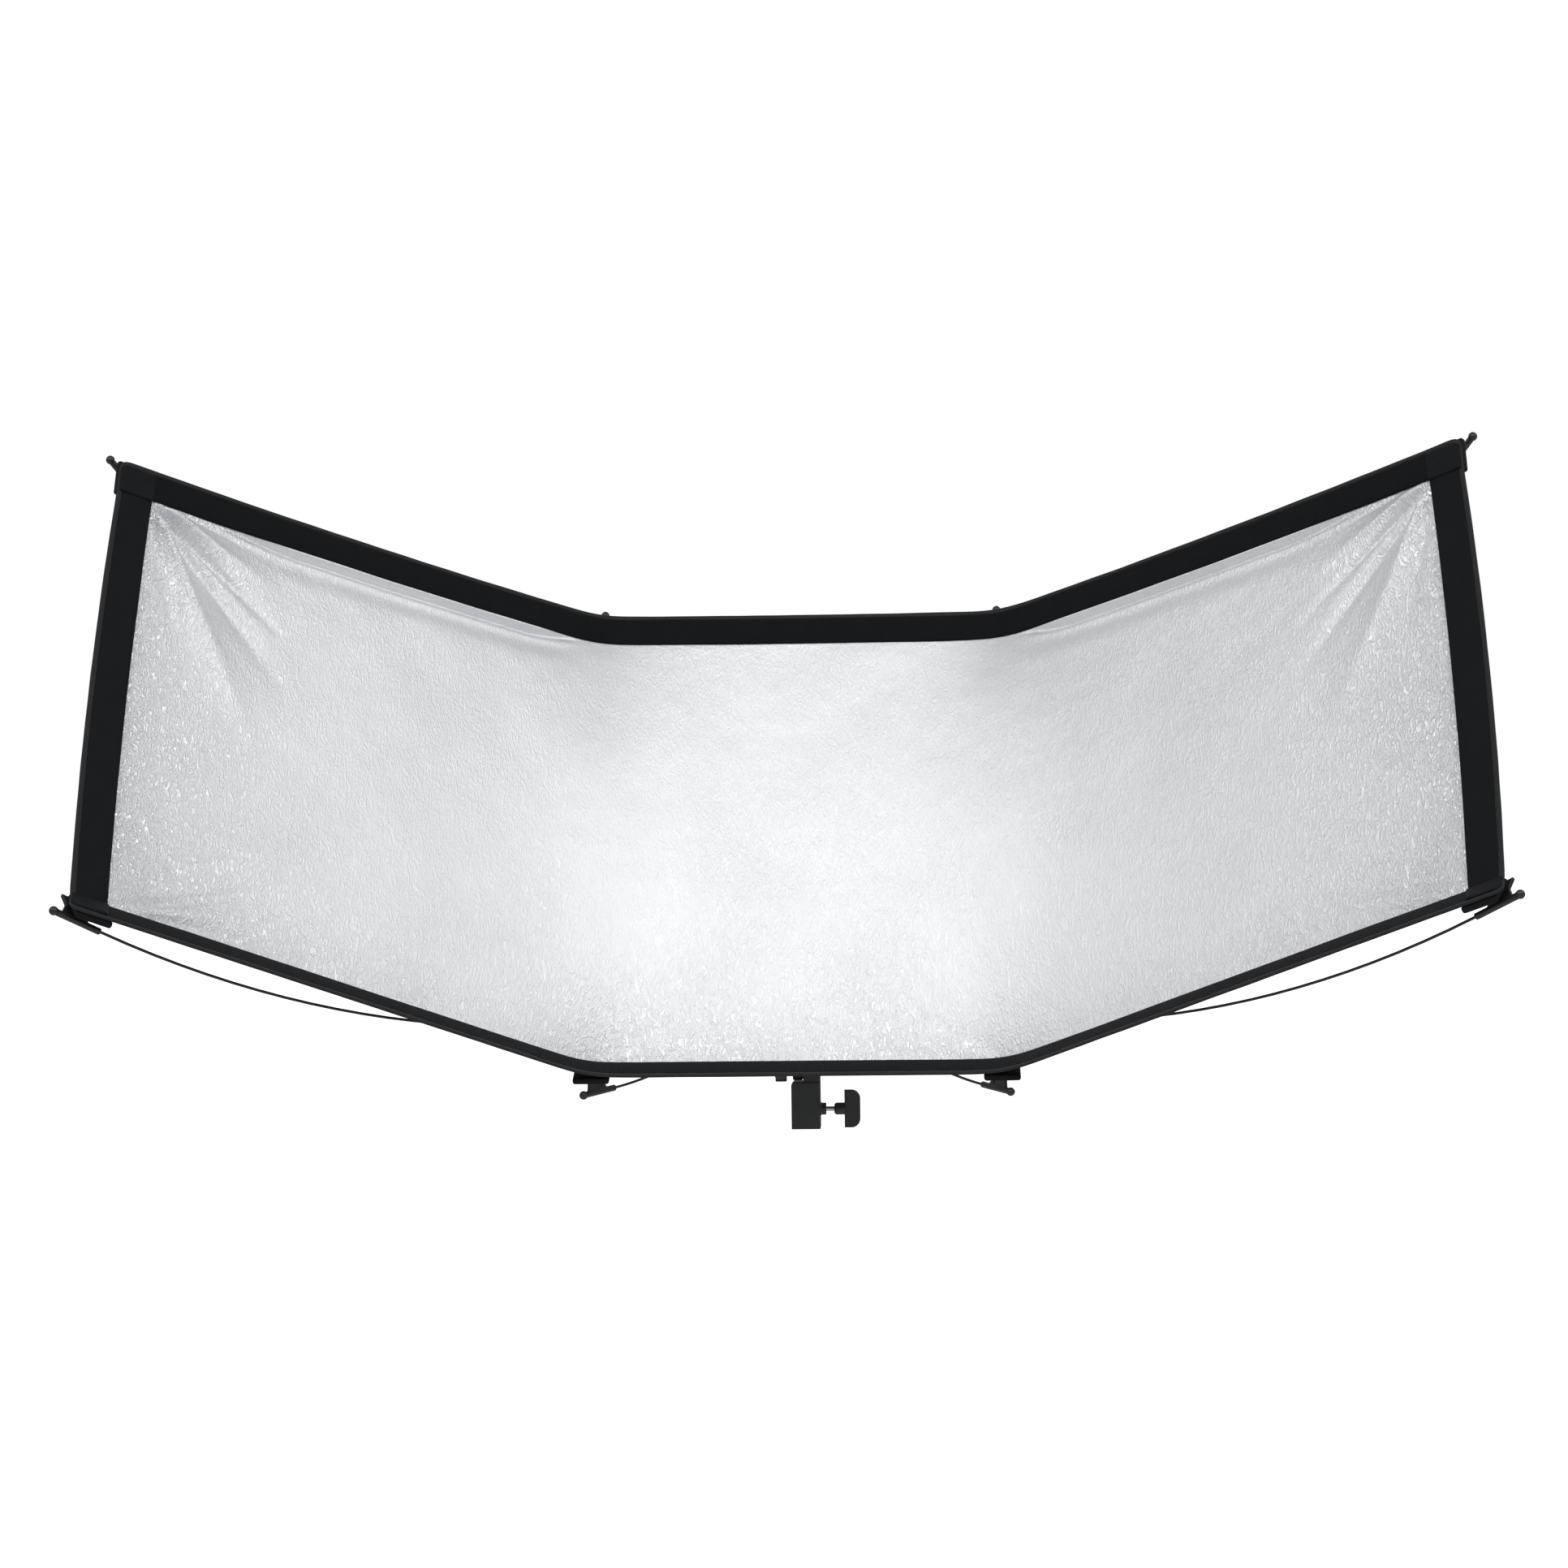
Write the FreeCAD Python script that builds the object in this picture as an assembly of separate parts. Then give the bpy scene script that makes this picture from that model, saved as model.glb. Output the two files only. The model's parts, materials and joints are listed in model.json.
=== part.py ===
import FreeCAD, Part
import math
import os

# Three-panel curved reflector on a tilting stand bracket, in millimetres.
# The row frame has its origin at the mouth of the stand socket, +Z up along the stand's stud,
# -Y towards the silver face and +X to the right of someone who looks at that face.
# The cloth, rods and hub are laid out in the panel frame (x right, y back, z up the centre panel)
# and stand in the row frame leaning back by REST_TILT.

V = FreeCAD.Vector
X_AXIS = V(1, 0, 0)
Y_AXIS = V(0, 1, 0)
Z_AXIS = V(0, 0, 1)

# ---- driving dimensions: the reflector as a whole ---------------------------------------------
REST_TILT = 27.5            # lean of the centre panel from the vertical, degrees
CENTRE_WIDTH = 490.0        # centre panel between the folds
WING_WIDTH = 655.0          # each wing, from its fold to its outer edge
WING_ANGLE = 40.0           # each wing comes forward by this angle, degrees
FOLD_HEIGHT = 605.0         # top edge to bottom edge along a fold, seen along the panel
OUTER_HEIGHT = 554.0        # the same at the outer edges
HUB_BACK = 194.0            # hub centre behind the centre panel
HUB_DROP = 80.0             # hub centre below the middle of the centre panel
HUB_HEIGHT = 205.0          # hub centre above the socket mouth

# ---- cloth and its edging ---------------------------------------------------------------------
CLOTH_THICK = 0.8
BAND_WIDTH = 33.0           # ribbed elastic band along the top and bottom
SIDE_BAND_WIDTH = 37.0      # smooth band along the outer edges
BAND_THICK = 1.6
HEM_WIDTH = 7.0             # rolled hem outside every band
HEM_THICK = 4.0
BOTTOM_LEAN = 42.0          # the bottom band leans forward by this angle, degrees
POCKET_SIZE = 42.0          # square corner pockets behind the cloth
POCKET_THICK = 8.0
CLOTH_GAP = 0.05            # air between the cloth layers
SEAM_GAP = 0.4              # air between the cloth's edge and the bands along it

# ---- rods and their tips ----------------------------------------------------------------------
ROD_DIA = 3.2
ROD_FIT = 0.05              # radial clearance of a rod in a tip or a ferrule
ROD_IN_TIP = 38.0
ROD_IN_HUB = 20.0
TUBE_DIA = 7.5
TUBE_LENGTH = 54.0
BALL_DIA = 10.0
BALL_CENTRE = 58.0          # from the tube's mouth
TUBE_CHAMFER = 1.2
FIN_THICK = 4.0
FIN_START = 14.0            # fin's foot, from the tube's mouth
FIN_END = 49.0
FIN_HEIGHT = 16.0           # from the tube's axis to the fin's waist
FIN_WAIST = 20.0            # fin's length at its waist
PANEL_RECESS = 0.8          # recessed panel in each side of the fin
PANEL_FRAME = 2.0           # rim of the fin around that panel
PANEL_FOOT = 1.0            # rim between that panel and the tube
HOOK_ALONG = 34.0           # hook bar's middle, from the tube's mouth
HOOK_REACH = 26.0           # hook bar's middle, from the tube's axis
HOOK_LENGTH = 30.0
HOOK_DIA = 4.0

# Each kind of tip, right-hand side, the left-hand side being its mirror image. The hook bar's middle
# is given from the cloth's corner: inwards along the edge, behind the cloth and away from the edge.
# The tube and fin directions are in the panel frame.
TIP_POSES = {
    "outer_bottom": {"hook": (8, 8, 40), "tube": V(0.69, -0.715, 0.11), "fin": V(0.13, 0.29, 0.95)},
    "outer_top": {"hook": (18, 7, 14), "tube": V(0.53, -0.70, 0.48), "fin": V(-0.51, -0.71, -0.48)},
    "inner_bottom": {"hook": (0, 7, 33), "tube": V(0.54, -0.72, -0.44), "fin": V(0.14, -0.44, 0.89)},
    "inner_top": {"hook": (9, 11, 22), "tube": V(0.42, -0.52, 0.74), "fin": V(0.15, -0.78, -0.61)},
}

# ---- hub --------------------------------------------------------------------------------------
HUB_DIA = 76.0
HUB_THICK = 36.0
HUB_CHAMFER = 3.0
ROD_CIRCLE = 80.0           # circle on which the rods leave the hub
ROD_ANGLES = {"outer_bottom": -38.0, "outer_top": 12.0, "inner_bottom": -54.0, "inner_top": 65.0}
ROD_LEVELS = {"outer": -2.0, "inner": -8.5}
FERRULE_DIA = 7.0
FERRULE_IN = 14.0
FERRULE_OUT = 3.0
SEAT_FIT = 0.02             # radial clearance of a piece seated in a moulding
COVER_DIA = 62.0
COVER_THICK = 3.0
SMALL_SCREW_DIA = 3.0
SMALL_HEAD_DIA = 6.0
SMALL_HEAD_THICK = 2.2
SMALL_SCREW_LENGTH = 9.0    # under the head
COVER_SCREW_CIRCLE = 50.0
PAD_WIDTH = 32.0            # seat under the hub for the arm's flange
PAD_DEPTH = 50.0
PAD_LEVEL = 46.0            # underside of the seat, below the hub's centre
PAD_HEIGHT = 14.0
FLANGE_THICK = 8.0
ARM_SCREW_DIA = 5.0
ARM_HEAD_DIA = 9.0
ARM_HEAD_THICK = 4.0
ARM_HEAD_ROOM = 1.0         # air around an arm screw's head
ARM_HEAD_WELL = 18.0        # depth of the well below an arm screw's head
ARM_SCREW_SPACING = 38.0
ARM_SCREW_GRIP = 12.0       # length of an arm screw inside the hub

# ---- stand block ------------------------------------------------------------------------------
BLOCK_WIDTH = 35.5
BLOCK_DEPTH = 36.0
BLOCK_HEIGHT = 57.0
BLOCK_ROUND = 1.8
BLOCK_CHAMFER = 3.0
STUD_DIA = 16.0
STUD_CLEARANCE = 0.15       # radial, between the stud and the socket
SOCKET_DEPTH = 50.0
LINER_WALL = 1.85
LOCK_HEIGHT = 23.2          # lock screw's axis above the socket mouth
BOSS_DIA = 15.0
BOSS_LENGTH = 7.0
BOSS_FILLET = 2.5
BOSS_NUT_DIA = 10.0
BOSS_NUT_LENGTH = 9.5
LOCK_SCREW_DIA = 6.0
LOCK_SCREW_SHOW = 10.0      # bare screw between the boss and the knob
LOCK_SCREW_IN_KNOB = 9.0
THREAD_FIT = 0.05           # radial clearance that stands for a thread
LOCK_PAD_DIA = 7.6
LOCK_PAD_LENGTH = 4.0
LOCK_PAD_BACK = 0.45        # pad's face behind the socket's wall when the clamp is open
LOCK_PAD_FIT = 0.08

# ---- T-knob of the stand lock -----------------------------------------------------------------
KNOB_HUB_DIA = 15.0
KNOB_HUB_LENGTH = 12.5
KNOB_HUB_CHAMFER = 2.0
KNOB_WING_HEIGHT = 46.4
KNOB_WING_LENGTH = 19.5
KNOB_WING_THICK = 10.0
KNOB_WING_ROUND = 11.0
KNOB_EDGE_ROUND = 1.5

# ---- tilt joint -------------------------------------------------------------------------------
EAR_RADIUS = 16.0
EAR_GAP = 2.0               # air under and around the turning ear
BLOCK_EAR_WIDTH = 20.5
ARM_EAR_WIDTH = 11.5
DISC_THICK = 1.5
DISC_INSET = 1.0            # disc's rim inside the ear's rim
JOINT_GAP = 0.05            # air between faces that turn on each other
TILT_BOLT_DIA = 8.0
TILT_HEAD_ACROSS = 13.0
TILT_HEAD_THICK = 4.5
TILT_HEAD_SUNK = 0.5        # bolt's head below the block's side face
HEAD_FIT = 0.15
TILT_WASHER_DIA = 22.0
TILT_WASHER_THICK = 1.6
TILT_KNOB_DIA = 36.0
TILT_KNOB_LENGTH = 14.0
TILT_KNOB_HUB_DIA = 18.0
TILT_KNOB_HUB_LENGTH = 6.0
TILT_KNOB_LOBES = 6
TILT_KNOB_FLUTE = 9.0       # diameter of the flutes between the lobes
TILT_KNOB_WALL = 3.0        # blind end of the knob beyond the bolt
TILT_TRAVEL = 2.5           # room for the knob to screw out
ARM_DEPTH = 26.0

# ---- modelling allowances ---------------------------------------------------------------------
OVERLAP = 1.0               # how far joined shapes run into each other, and cuts past a face
TOLERANCE = 0.1             # for picking an edge by its place

# ---- derived places ---------------------------------------------------------------------------
PIVOT_HEIGHT = BLOCK_HEIGHT + EAR_GAP + EAR_RADIUS
SOCKET_RADIUS = STUD_DIA / 2 + STUD_CLEARANCE
LINER_RADIUS = SOCKET_RADIUS + LINER_WALL
HALF_CENTRE = CENTRE_WIDTH / 2
HALF_FOLD = FOLD_HEIGHT / 2
HALF_OUTER = OUTER_HEIGHT / 2
BLOCK_RIGHT = BLOCK_WIDTH / 2
EDGE_WIDTH = BAND_WIDTH + HEM_WIDTH
WING_DIR = V(math.cos(math.radians(WING_ANGLE)), -math.sin(math.radians(WING_ANGLE)), 0)

PANEL_ROTATION = FreeCAD.Rotation(X_AXIS, -REST_TILT)
HUB_IN_ROW = V(0, 0, HUB_HEIGHT)
HUB_IN_PANEL = V(0, HUB_BACK, -HUB_DROP)
PANEL_ORIGIN = HUB_IN_ROW - PANEL_ROTATION.multVec(HUB_IN_PANEL)
PANEL_PLACE = FreeCAD.Placement(PANEL_ORIGIN, PANEL_ROTATION)


def save(name, shape):
    """Write one sub-part, which may hold several equal loose solids."""
    shape.exportStep("parts/" + name + ".step")


def stand_up(shape):
    """Carry a shape from the panel frame into the row frame."""
    placed = shape.copy()
    placed.Placement = PANEL_PLACE.multiply(placed.Placement)
    return placed


def mirror(shape):
    """The left-hand twin of a right-hand shape."""
    return shape.mirror(V(0, 0, 0), X_AXIS)


def rod_along(start, direction, length, radius):
    return Part.makeCylinder(radius, length, start, direction)


def box_about(centre, size):
    """A box of the given size, centred on a point."""
    return Part.makeBox(size.x, size.y, size.z, centre - size * 0.5)


def unit(vector):
    return V(vector).normalize()


def square_to(vector, axis):
    """The part of a vector that is square to an axis, at unit length."""
    return unit(vector - axis * vector.dot(axis))


# ---- cloth ------------------------------------------------------------------------------------
CENTRE_FACE = V(0, -1, 0)
WING_FACE = V(-math.sin(math.radians(WING_ANGLE)), -math.cos(math.radians(WING_ANGLE)), 0)
FOLD_FACE = unit(CENTRE_FACE + WING_FACE)
FOLD_FOOT = V(HALF_CENTRE, 0, 0)
OUTER_FOOT = FOLD_FOOT + WING_DIR * WING_WIDTH


def edge_section(side, end):
    """Where the edging begins at a fold or at an outer edge: the cloth's edge, the way across the
    edging to its outer side, and the square to it on the silver face."""
    sign = 1 if side == "top" else -1
    lean = math.radians(BOTTOM_LEAN) if side == "bottom" else 0.0
    upright = Z_AXIS * (sign * math.cos(lean))
    forward = math.sin(lean)
    facing = math.cos(math.radians(WING_ANGLE)) if end == "outer" else 1.0
    rise = EDGE_WIDTH * (math.cos(lean) - math.tan(math.radians(REST_TILT)) * forward * facing)
    if end == "outer":
        across = upright + WING_FACE * forward
        return OUTER_FOOT + Z_AXIS * (sign * (HALF_OUTER - rise)), across, square_to(WING_FACE, across)
    mitre = math.cos(math.radians(WING_ANGLE / 2))
    across = upright + FOLD_FACE * (forward / mitre)
    inner = FOLD_FOOT + Z_AXIS * (sign * (HALF_FOLD - rise))
    return inner, across, square_to(FOLD_FACE, unit(across))


def outline(inner, outer, normal, thick):
    """Closed end outline of a strip, half of its thickness on each side of the cloth."""
    back = normal * (-thick / 2)
    front = normal * (thick / 2)
    points = [inner + back, outer + back, outer + front, inner + front]
    return Part.makePolygon(points + [points[0]])


def edging_outline(side, end, first, second, thick):
    """End outline of a band or a hem: first and second are distances across the edging."""
    inner, across, normal = edge_section(side, end)
    return outline(inner + across * first, inner + across * second, normal, thick)


def strip(end_a, end_b):
    """A straight closed strip between two end outlines."""
    return Part.makeLoft([end_a, end_b], True, True)


def cloth_end(bottom, top, normal):
    """End outline of the cloth between the points where its bottom and top edging begin."""
    seam = Z_AXIS * SEAM_GAP
    return outline(bottom + seam, top - seam, normal, CLOTH_THICK)


def cloth_centre():
    bottom, top = [edge_section(side, "fold")[0] for side in ("bottom", "top")]
    right = cloth_end(bottom, top, FOLD_FACE)
    return strip(mirror(right), right)


def wing_inner_point(side, from_outer):
    """A point where the wing's cloth meets its top or bottom edging, given its distance from the
    outer edge."""
    fold = edge_section(side, "fold")[0]
    outer = edge_section(side, "outer")[0]
    return outer + (fold - outer) * (from_outer / WING_WIDTH)


def cloth_wing():
    inset = SIDE_BAND_WIDTH + HEM_WIDTH
    fold = [wing_inner_point(side, WING_WIDTH) for side in ("bottom", "top")]
    outer = [wing_inner_point(side, inset) for side in ("bottom", "top")]
    return strip(cloth_end(fold[0], fold[1], FOLD_FACE), cloth_end(outer[0], outer[1], WING_FACE))


def centre_edging(side, first, second, thick):
    right = edging_outline(side, "fold", first, second, thick)
    return strip(mirror(right), right)


def wing_edging(side, first, second, thick):
    fold = edging_outline(side, "fold", first, second, thick)
    outer = edging_outline(side, "outer", first, second, thick)
    return strip(fold, outer)


def side_edging(first, second, thick):
    """Band or hem down the outer edge, between the top and the bottom edging."""
    inset = SIDE_BAND_WIDTH + HEM_WIDTH
    clear_of_lean = Z_AXIS * (thick / 2 * math.sin(math.radians(BOTTOM_LEAN)) + SEAM_GAP)
    ends = []
    for side, seam in (("bottom", clear_of_lean), ("top", clear_of_lean * -1)):
        inner, outer = [wing_inner_point(side, inset - step) + seam for step in (first, second)]
        ends.append(outline(inner, outer, WING_FACE, thick))
    return strip(ends[0], ends[1])


def corner_frame(kind):
    """A corner of the cloth: its outermost point and the ways inwards, back and off the edge."""
    end, side = kind.split("_")
    end = "outer" if end == "outer" else "fold"
    inner, across, normal = edge_section(side, end)
    corner = inner + across * EDGE_WIDTH
    if end == "outer":
        fold_inner, fold_across = edge_section(side, "fold")[:2]
        along_edge = unit(fold_inner + fold_across * EDGE_WIDTH - corner)
        return corner, along_edge, normal * -1, across * -1
    lean = math.radians(BOTTOM_LEAN) if side == "bottom" else 0.0
    sign = 1 if side == "top" else -1
    off_edge = V(0, math.sin(lean), -sign * math.cos(lean))
    behind = V(0, math.cos(lean), sign * math.sin(lean))
    return corner, X_AXIS * -1, behind, off_edge


def hook_point(kind):
    corner, inwards, behind, off_edge = corner_frame(kind)
    steps = TIP_POSES[kind]["hook"]
    return corner + inwards * steps[0] + behind * steps[1] + off_edge * steps[2]


def pocket(kind):
    """A sewn pocket behind a corner of the cloth, around the tip's hook bar."""
    corner, inwards, behind, off_edge = corner_frame(kind)
    start = -POCKET_SIZE / 2 if kind.startswith("inner") else 0.0
    level = HEM_THICK / 2 + CLOTH_GAP
    low = corner + inwards * start + behind * level
    points = [low, low + inwards * POCKET_SIZE, low + inwards * POCKET_SIZE + off_edge * POCKET_SIZE,
              low + off_edge * POCKET_SIZE]
    face = Part.Face(Part.makePolygon(points + [low]))
    return face.extrude(behind * POCKET_THICK)


# ---- rods and tips ----------------------------------------------------------------------------
def tip_axes(kind):
    """The tip's mouth, the way its tube points and the way its fin points."""
    tube = unit(TIP_POSES[kind]["tube"])
    fin = square_to(TIP_POSES[kind]["fin"], tube)
    mouth = hook_point(kind) - tube * HOOK_ALONG - fin * HOOK_REACH
    return mouth, tube, fin


def moulded_tip():
    """A tip in its own frame: tube along +X from its mouth at the origin, fin towards +Z."""
    tube = Part.makeCylinder(TUBE_DIA / 2, TUBE_LENGTH, V(0, 0, 0), X_AXIS)
    tube = tube.makeChamfer(TUBE_CHAMFER, [tube.Edges[2]])
    ball = Part.makeSphere(BALL_DIA / 2, V(BALL_CENTRE, 0, 0))
    half_waist = FIN_WAIST / 2
    half_hook = HOOK_LENGTH / 2
    profile = [V(FIN_START, 0, 0), V(FIN_END, 0, 0), V(HOOK_ALONG + half_waist, 0, FIN_HEIGHT),
               V(HOOK_ALONG + half_hook, 0, HOOK_REACH), V(HOOK_ALONG - half_hook, 0, HOOK_REACH),
               V(HOOK_ALONG - half_waist, 0, FIN_HEIGHT)]
    plate = Part.Face(Part.makePolygon(profile + [profile[0]])).extrude(Y_AXIS * FIN_THICK)
    plate.translate(Y_AXIS * (-FIN_THICK / 2))
    bar_start = V(HOOK_ALONG - half_hook, 0, HOOK_REACH)
    bar = Part.makeCylinder(HOOK_DIA / 2, HOOK_LENGTH, bar_start, X_AXIS)
    body = tube.multiFuse([ball, plate, bar]).removeSplitter()
    foot = TUBE_DIA / 2 + PANEL_FOOT
    crown = FIN_HEIGHT - PANEL_FRAME
    half_crown = half_waist - PANEL_FRAME
    inset = [V(HOOK_ALONG - half_waist, 0, foot), V(HOOK_ALONG + half_waist, 0, foot),
             V(HOOK_ALONG + half_crown, 0, crown), V(HOOK_ALONG - half_crown, 0, crown)]
    for side in (-1, 1):
        sunk = Part.Face(Part.makePolygon(inset + [inset[0]])).extrude(Y_AXIS * (side * PANEL_RECESS * 2))
        sunk.translate(Y_AXIS * (side * (FIN_THICK / 2 - PANEL_RECESS)))
        body = body.cut(sunk)
    bore = Part.makeCylinder(ROD_DIA / 2 + ROD_FIT, ROD_IN_TIP + OVERLAP, V(0, 0, 0), X_AXIS)
    return body.cut(bore)


def tip(kind):
    mouth, tube, fin = tip_axes(kind)
    turn = FreeCAD.Rotation(tube, fin.cross(tube), fin, "XZY")
    placed = moulded_tip()
    placed.Placement = FreeCAD.Placement(mouth, turn)
    return placed


def rod_root(kind):
    """The point where a rod leaves the hub."""
    angle = math.radians(ROD_ANGLES[kind])
    level = ROD_LEVELS[kind.split("_")[0]]
    out = V(math.cos(angle), 0, math.sin(angle)) * (ROD_CIRCLE / 2)
    return HUB_IN_PANEL + out + Y_AXIS * level


def rod_course(kind):
    """A rod springs in one circular arc from the hub to its tip, and is straight inside both.

    Returns its root, the way it leaves the root, the arc's centre, axis and turn, and its mouth.
    """
    root = rod_root(kind)
    mouth, tube, fin = tip_axes(kind)
    chord = unit(mouth - root)
    leaving = chord * (2 * chord.dot(tube)) - tube
    axis = unit(leaving.cross(tube))
    half_turn = math.acos(chord.dot(tube))
    radius = (mouth - root).Length / (2 * math.sin(half_turn))
    centre = root + axis.cross(leaving) * radius
    return root, leaving, centre, axis, math.degrees(2 * half_turn), mouth


def rod(kind):
    root, leaving, centre, axis, turn, mouth = rod_course(kind)
    section = Part.Face(Part.Wire(Part.makeCircle(ROD_DIA / 2, root, leaving)))
    bow = section.revolve(centre, axis, turn)
    tube = tip_axes(kind)[1]
    tail = rod_along(root - leaving * ROD_IN_HUB, leaving, ROD_IN_HUB, ROD_DIA / 2)
    nose = rod_along(mouth, tube, ROD_IN_TIP, ROD_DIA / 2)
    return bow.multiFuse([tail, nose]).removeSplitter()


# ---- hub --------------------------------------------------------------------------------------
def both_sides(shape):
    return [shape, mirror(shape)]


def screw_circle():
    """Places of the cover's screws, in the panel frame about the hub's centre."""
    reach = COVER_SCREW_CIRCLE / 2 * math.sqrt(0.5)
    return [V(x, 0, z) for x in (-reach, reach) for z in (-reach, reach)]


def arm_screw_places():
    return [V(0, y, 0) for y in (-ARM_SCREW_SPACING / 2, ARM_SCREW_SPACING / 2)]


def hub_body():
    disc = Part.makeCylinder(HUB_DIA / 2, HUB_THICK, HUB_IN_PANEL - Y_AXIS * (HUB_THICK / 2), Y_AXIS)
    rims = [edge for edge in disc.Edges if isinstance(edge.Curve, Part.Circle)]
    disc = disc.makeChamfer(HUB_CHAMFER, rims)
    seat_middle = HUB_IN_PANEL - Z_AXIS * (PAD_LEVEL - PAD_HEIGHT / 2)
    seat = box_about(seat_middle, V(PAD_WIDTH, PAD_DEPTH, PAD_HEIGHT))
    body = disc.fuse(seat).removeSplitter()
    holes = []
    for kind in TIP_POSES:
        root, leaving = rod_course(kind)[:2]
        depth = ROD_IN_HUB + OVERLAP
        rod_hole = rod_along(root - leaving * depth, leaving, depth, ROD_DIA / 2 + ROD_FIT)
        seat_hole = rod_along(root - leaving * FERRULE_IN, leaving, 2 * FERRULE_IN,
                              FERRULE_DIA / 2 + SEAT_FIT)
        holes += both_sides(rod_hole) + both_sides(seat_hole)
    back = HUB_IN_PANEL + Y_AXIS * (HUB_THICK / 2)
    small_depth = SMALL_SCREW_LENGTH - COVER_THICK + OVERLAP
    for place in screw_circle():
        hole = rod_along(back + place, Y_AXIS * -1, small_depth, SMALL_SCREW_DIA / 2 + THREAD_FIT)
        holes.append(hole)
    under = HUB_IN_PANEL - Z_AXIS * PAD_LEVEL
    for place in arm_screw_places():
        hole = rod_along(under + place, Z_AXIS, ARM_SCREW_GRIP + OVERLAP, ARM_SCREW_DIA / 2 + THREAD_FIT)
        holes.append(hole)
    return body.cut(holes)


def ferrules():
    """Eight equal bushes that line the hub's rod holes."""
    shapes = []
    for kind in TIP_POSES:
        root, leaving = rod_course(kind)[:2]
        length = FERRULE_IN + FERRULE_OUT
        start = root - leaving * FERRULE_IN
        bush = rod_along(start, leaving, length, FERRULE_DIA / 2)
        bush = bush.cut(rod_along(start, leaving, length, ROD_DIA / 2 + ROD_FIT))
        shapes += both_sides(bush)
    return Part.makeCompound(shapes)


def hub_cover():
    back = HUB_IN_PANEL + Y_AXIS * (HUB_THICK / 2)
    cover = Part.makeCylinder(COVER_DIA / 2, COVER_THICK, back, Y_AXIS)
    holes = [rod_along(back + place, Y_AXIS, COVER_THICK, SMALL_SCREW_DIA / 2 + THREAD_FIT)
             for place in screw_circle()]
    return cover.cut(holes)


def hub_screws():
    """Four equal screws that hold the cover."""
    face = HUB_IN_PANEL + Y_AXIS * (HUB_THICK / 2 + COVER_THICK)
    shapes = []
    for place in screw_circle():
        head = rod_along(face + place, Y_AXIS, SMALL_HEAD_THICK, SMALL_HEAD_DIA / 2)
        shank = rod_along(face + place, Y_AXIS * -1, SMALL_SCREW_LENGTH, SMALL_SCREW_DIA / 2)
        shapes.append(head.fuse(shank))
    return Part.makeCompound(shapes)


def arm_screws():
    """Two equal screws that hold the arm's flange under the hub."""
    seat = HUB_IN_PANEL - Z_AXIS * (PAD_LEVEL + FLANGE_THICK)
    shapes = []
    for place in arm_screw_places():
        head = rod_along(seat + place, Z_AXIS * -1, ARM_HEAD_THICK, ARM_HEAD_DIA / 2)
        shank = rod_along(seat + place, Z_AXIS, FLANGE_THICK + ARM_SCREW_GRIP, ARM_SCREW_DIA / 2)
        shapes.append(head.fuse(shank))
    return Part.makeCompound(shapes)


# ---- stand block, in the row frame ------------------------------------------------------------
BOSS_FACE = BLOCK_RIGHT + BOSS_LENGTH
EAR_INNER = BLOCK_RIGHT - BLOCK_EAR_WIDTH
DISC_INNER = EAR_INNER - DISC_THICK
ARM_EAR_RIGHT = DISC_INNER - JOINT_GAP
ARM_EAR_LEFT = ARM_EAR_RIGHT - ARM_EAR_WIDTH
WASHER_RIGHT = ARM_EAR_LEFT - JOINT_GAP
KNOB_RIGHT = WASHER_RIGHT - TILT_WASHER_THICK - JOINT_GAP
HEAD_SEAT = BLOCK_RIGHT - TILT_HEAD_THICK - TILT_HEAD_SUNK
PAD_FACE = SOCKET_RADIUS + LOCK_PAD_BACK
PAD_REAR = PAD_FACE + LOCK_PAD_LENGTH
KNOB_START = BOSS_FACE + LOCK_SCREW_SHOW


def across(x, height, length, radius):
    """A cylinder along +X that starts at x, on the axis at the given height."""
    return Part.makeCylinder(radius, length, V(x, 0, height), X_AXIS)


def hexagon(x, height, across_flats, length):
    """A hexagonal prism along +X with two flats upright."""
    radius = across_flats / 2 / math.cos(math.radians(30))
    turns = [math.radians(60 * i) for i in range(6)]
    points = [V(x, radius * math.sin(turn), height + radius * math.cos(turn)) for turn in turns]
    return Part.Face(Part.makePolygon(points + [points[0]])).extrude(X_AXIS * length)


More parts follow.
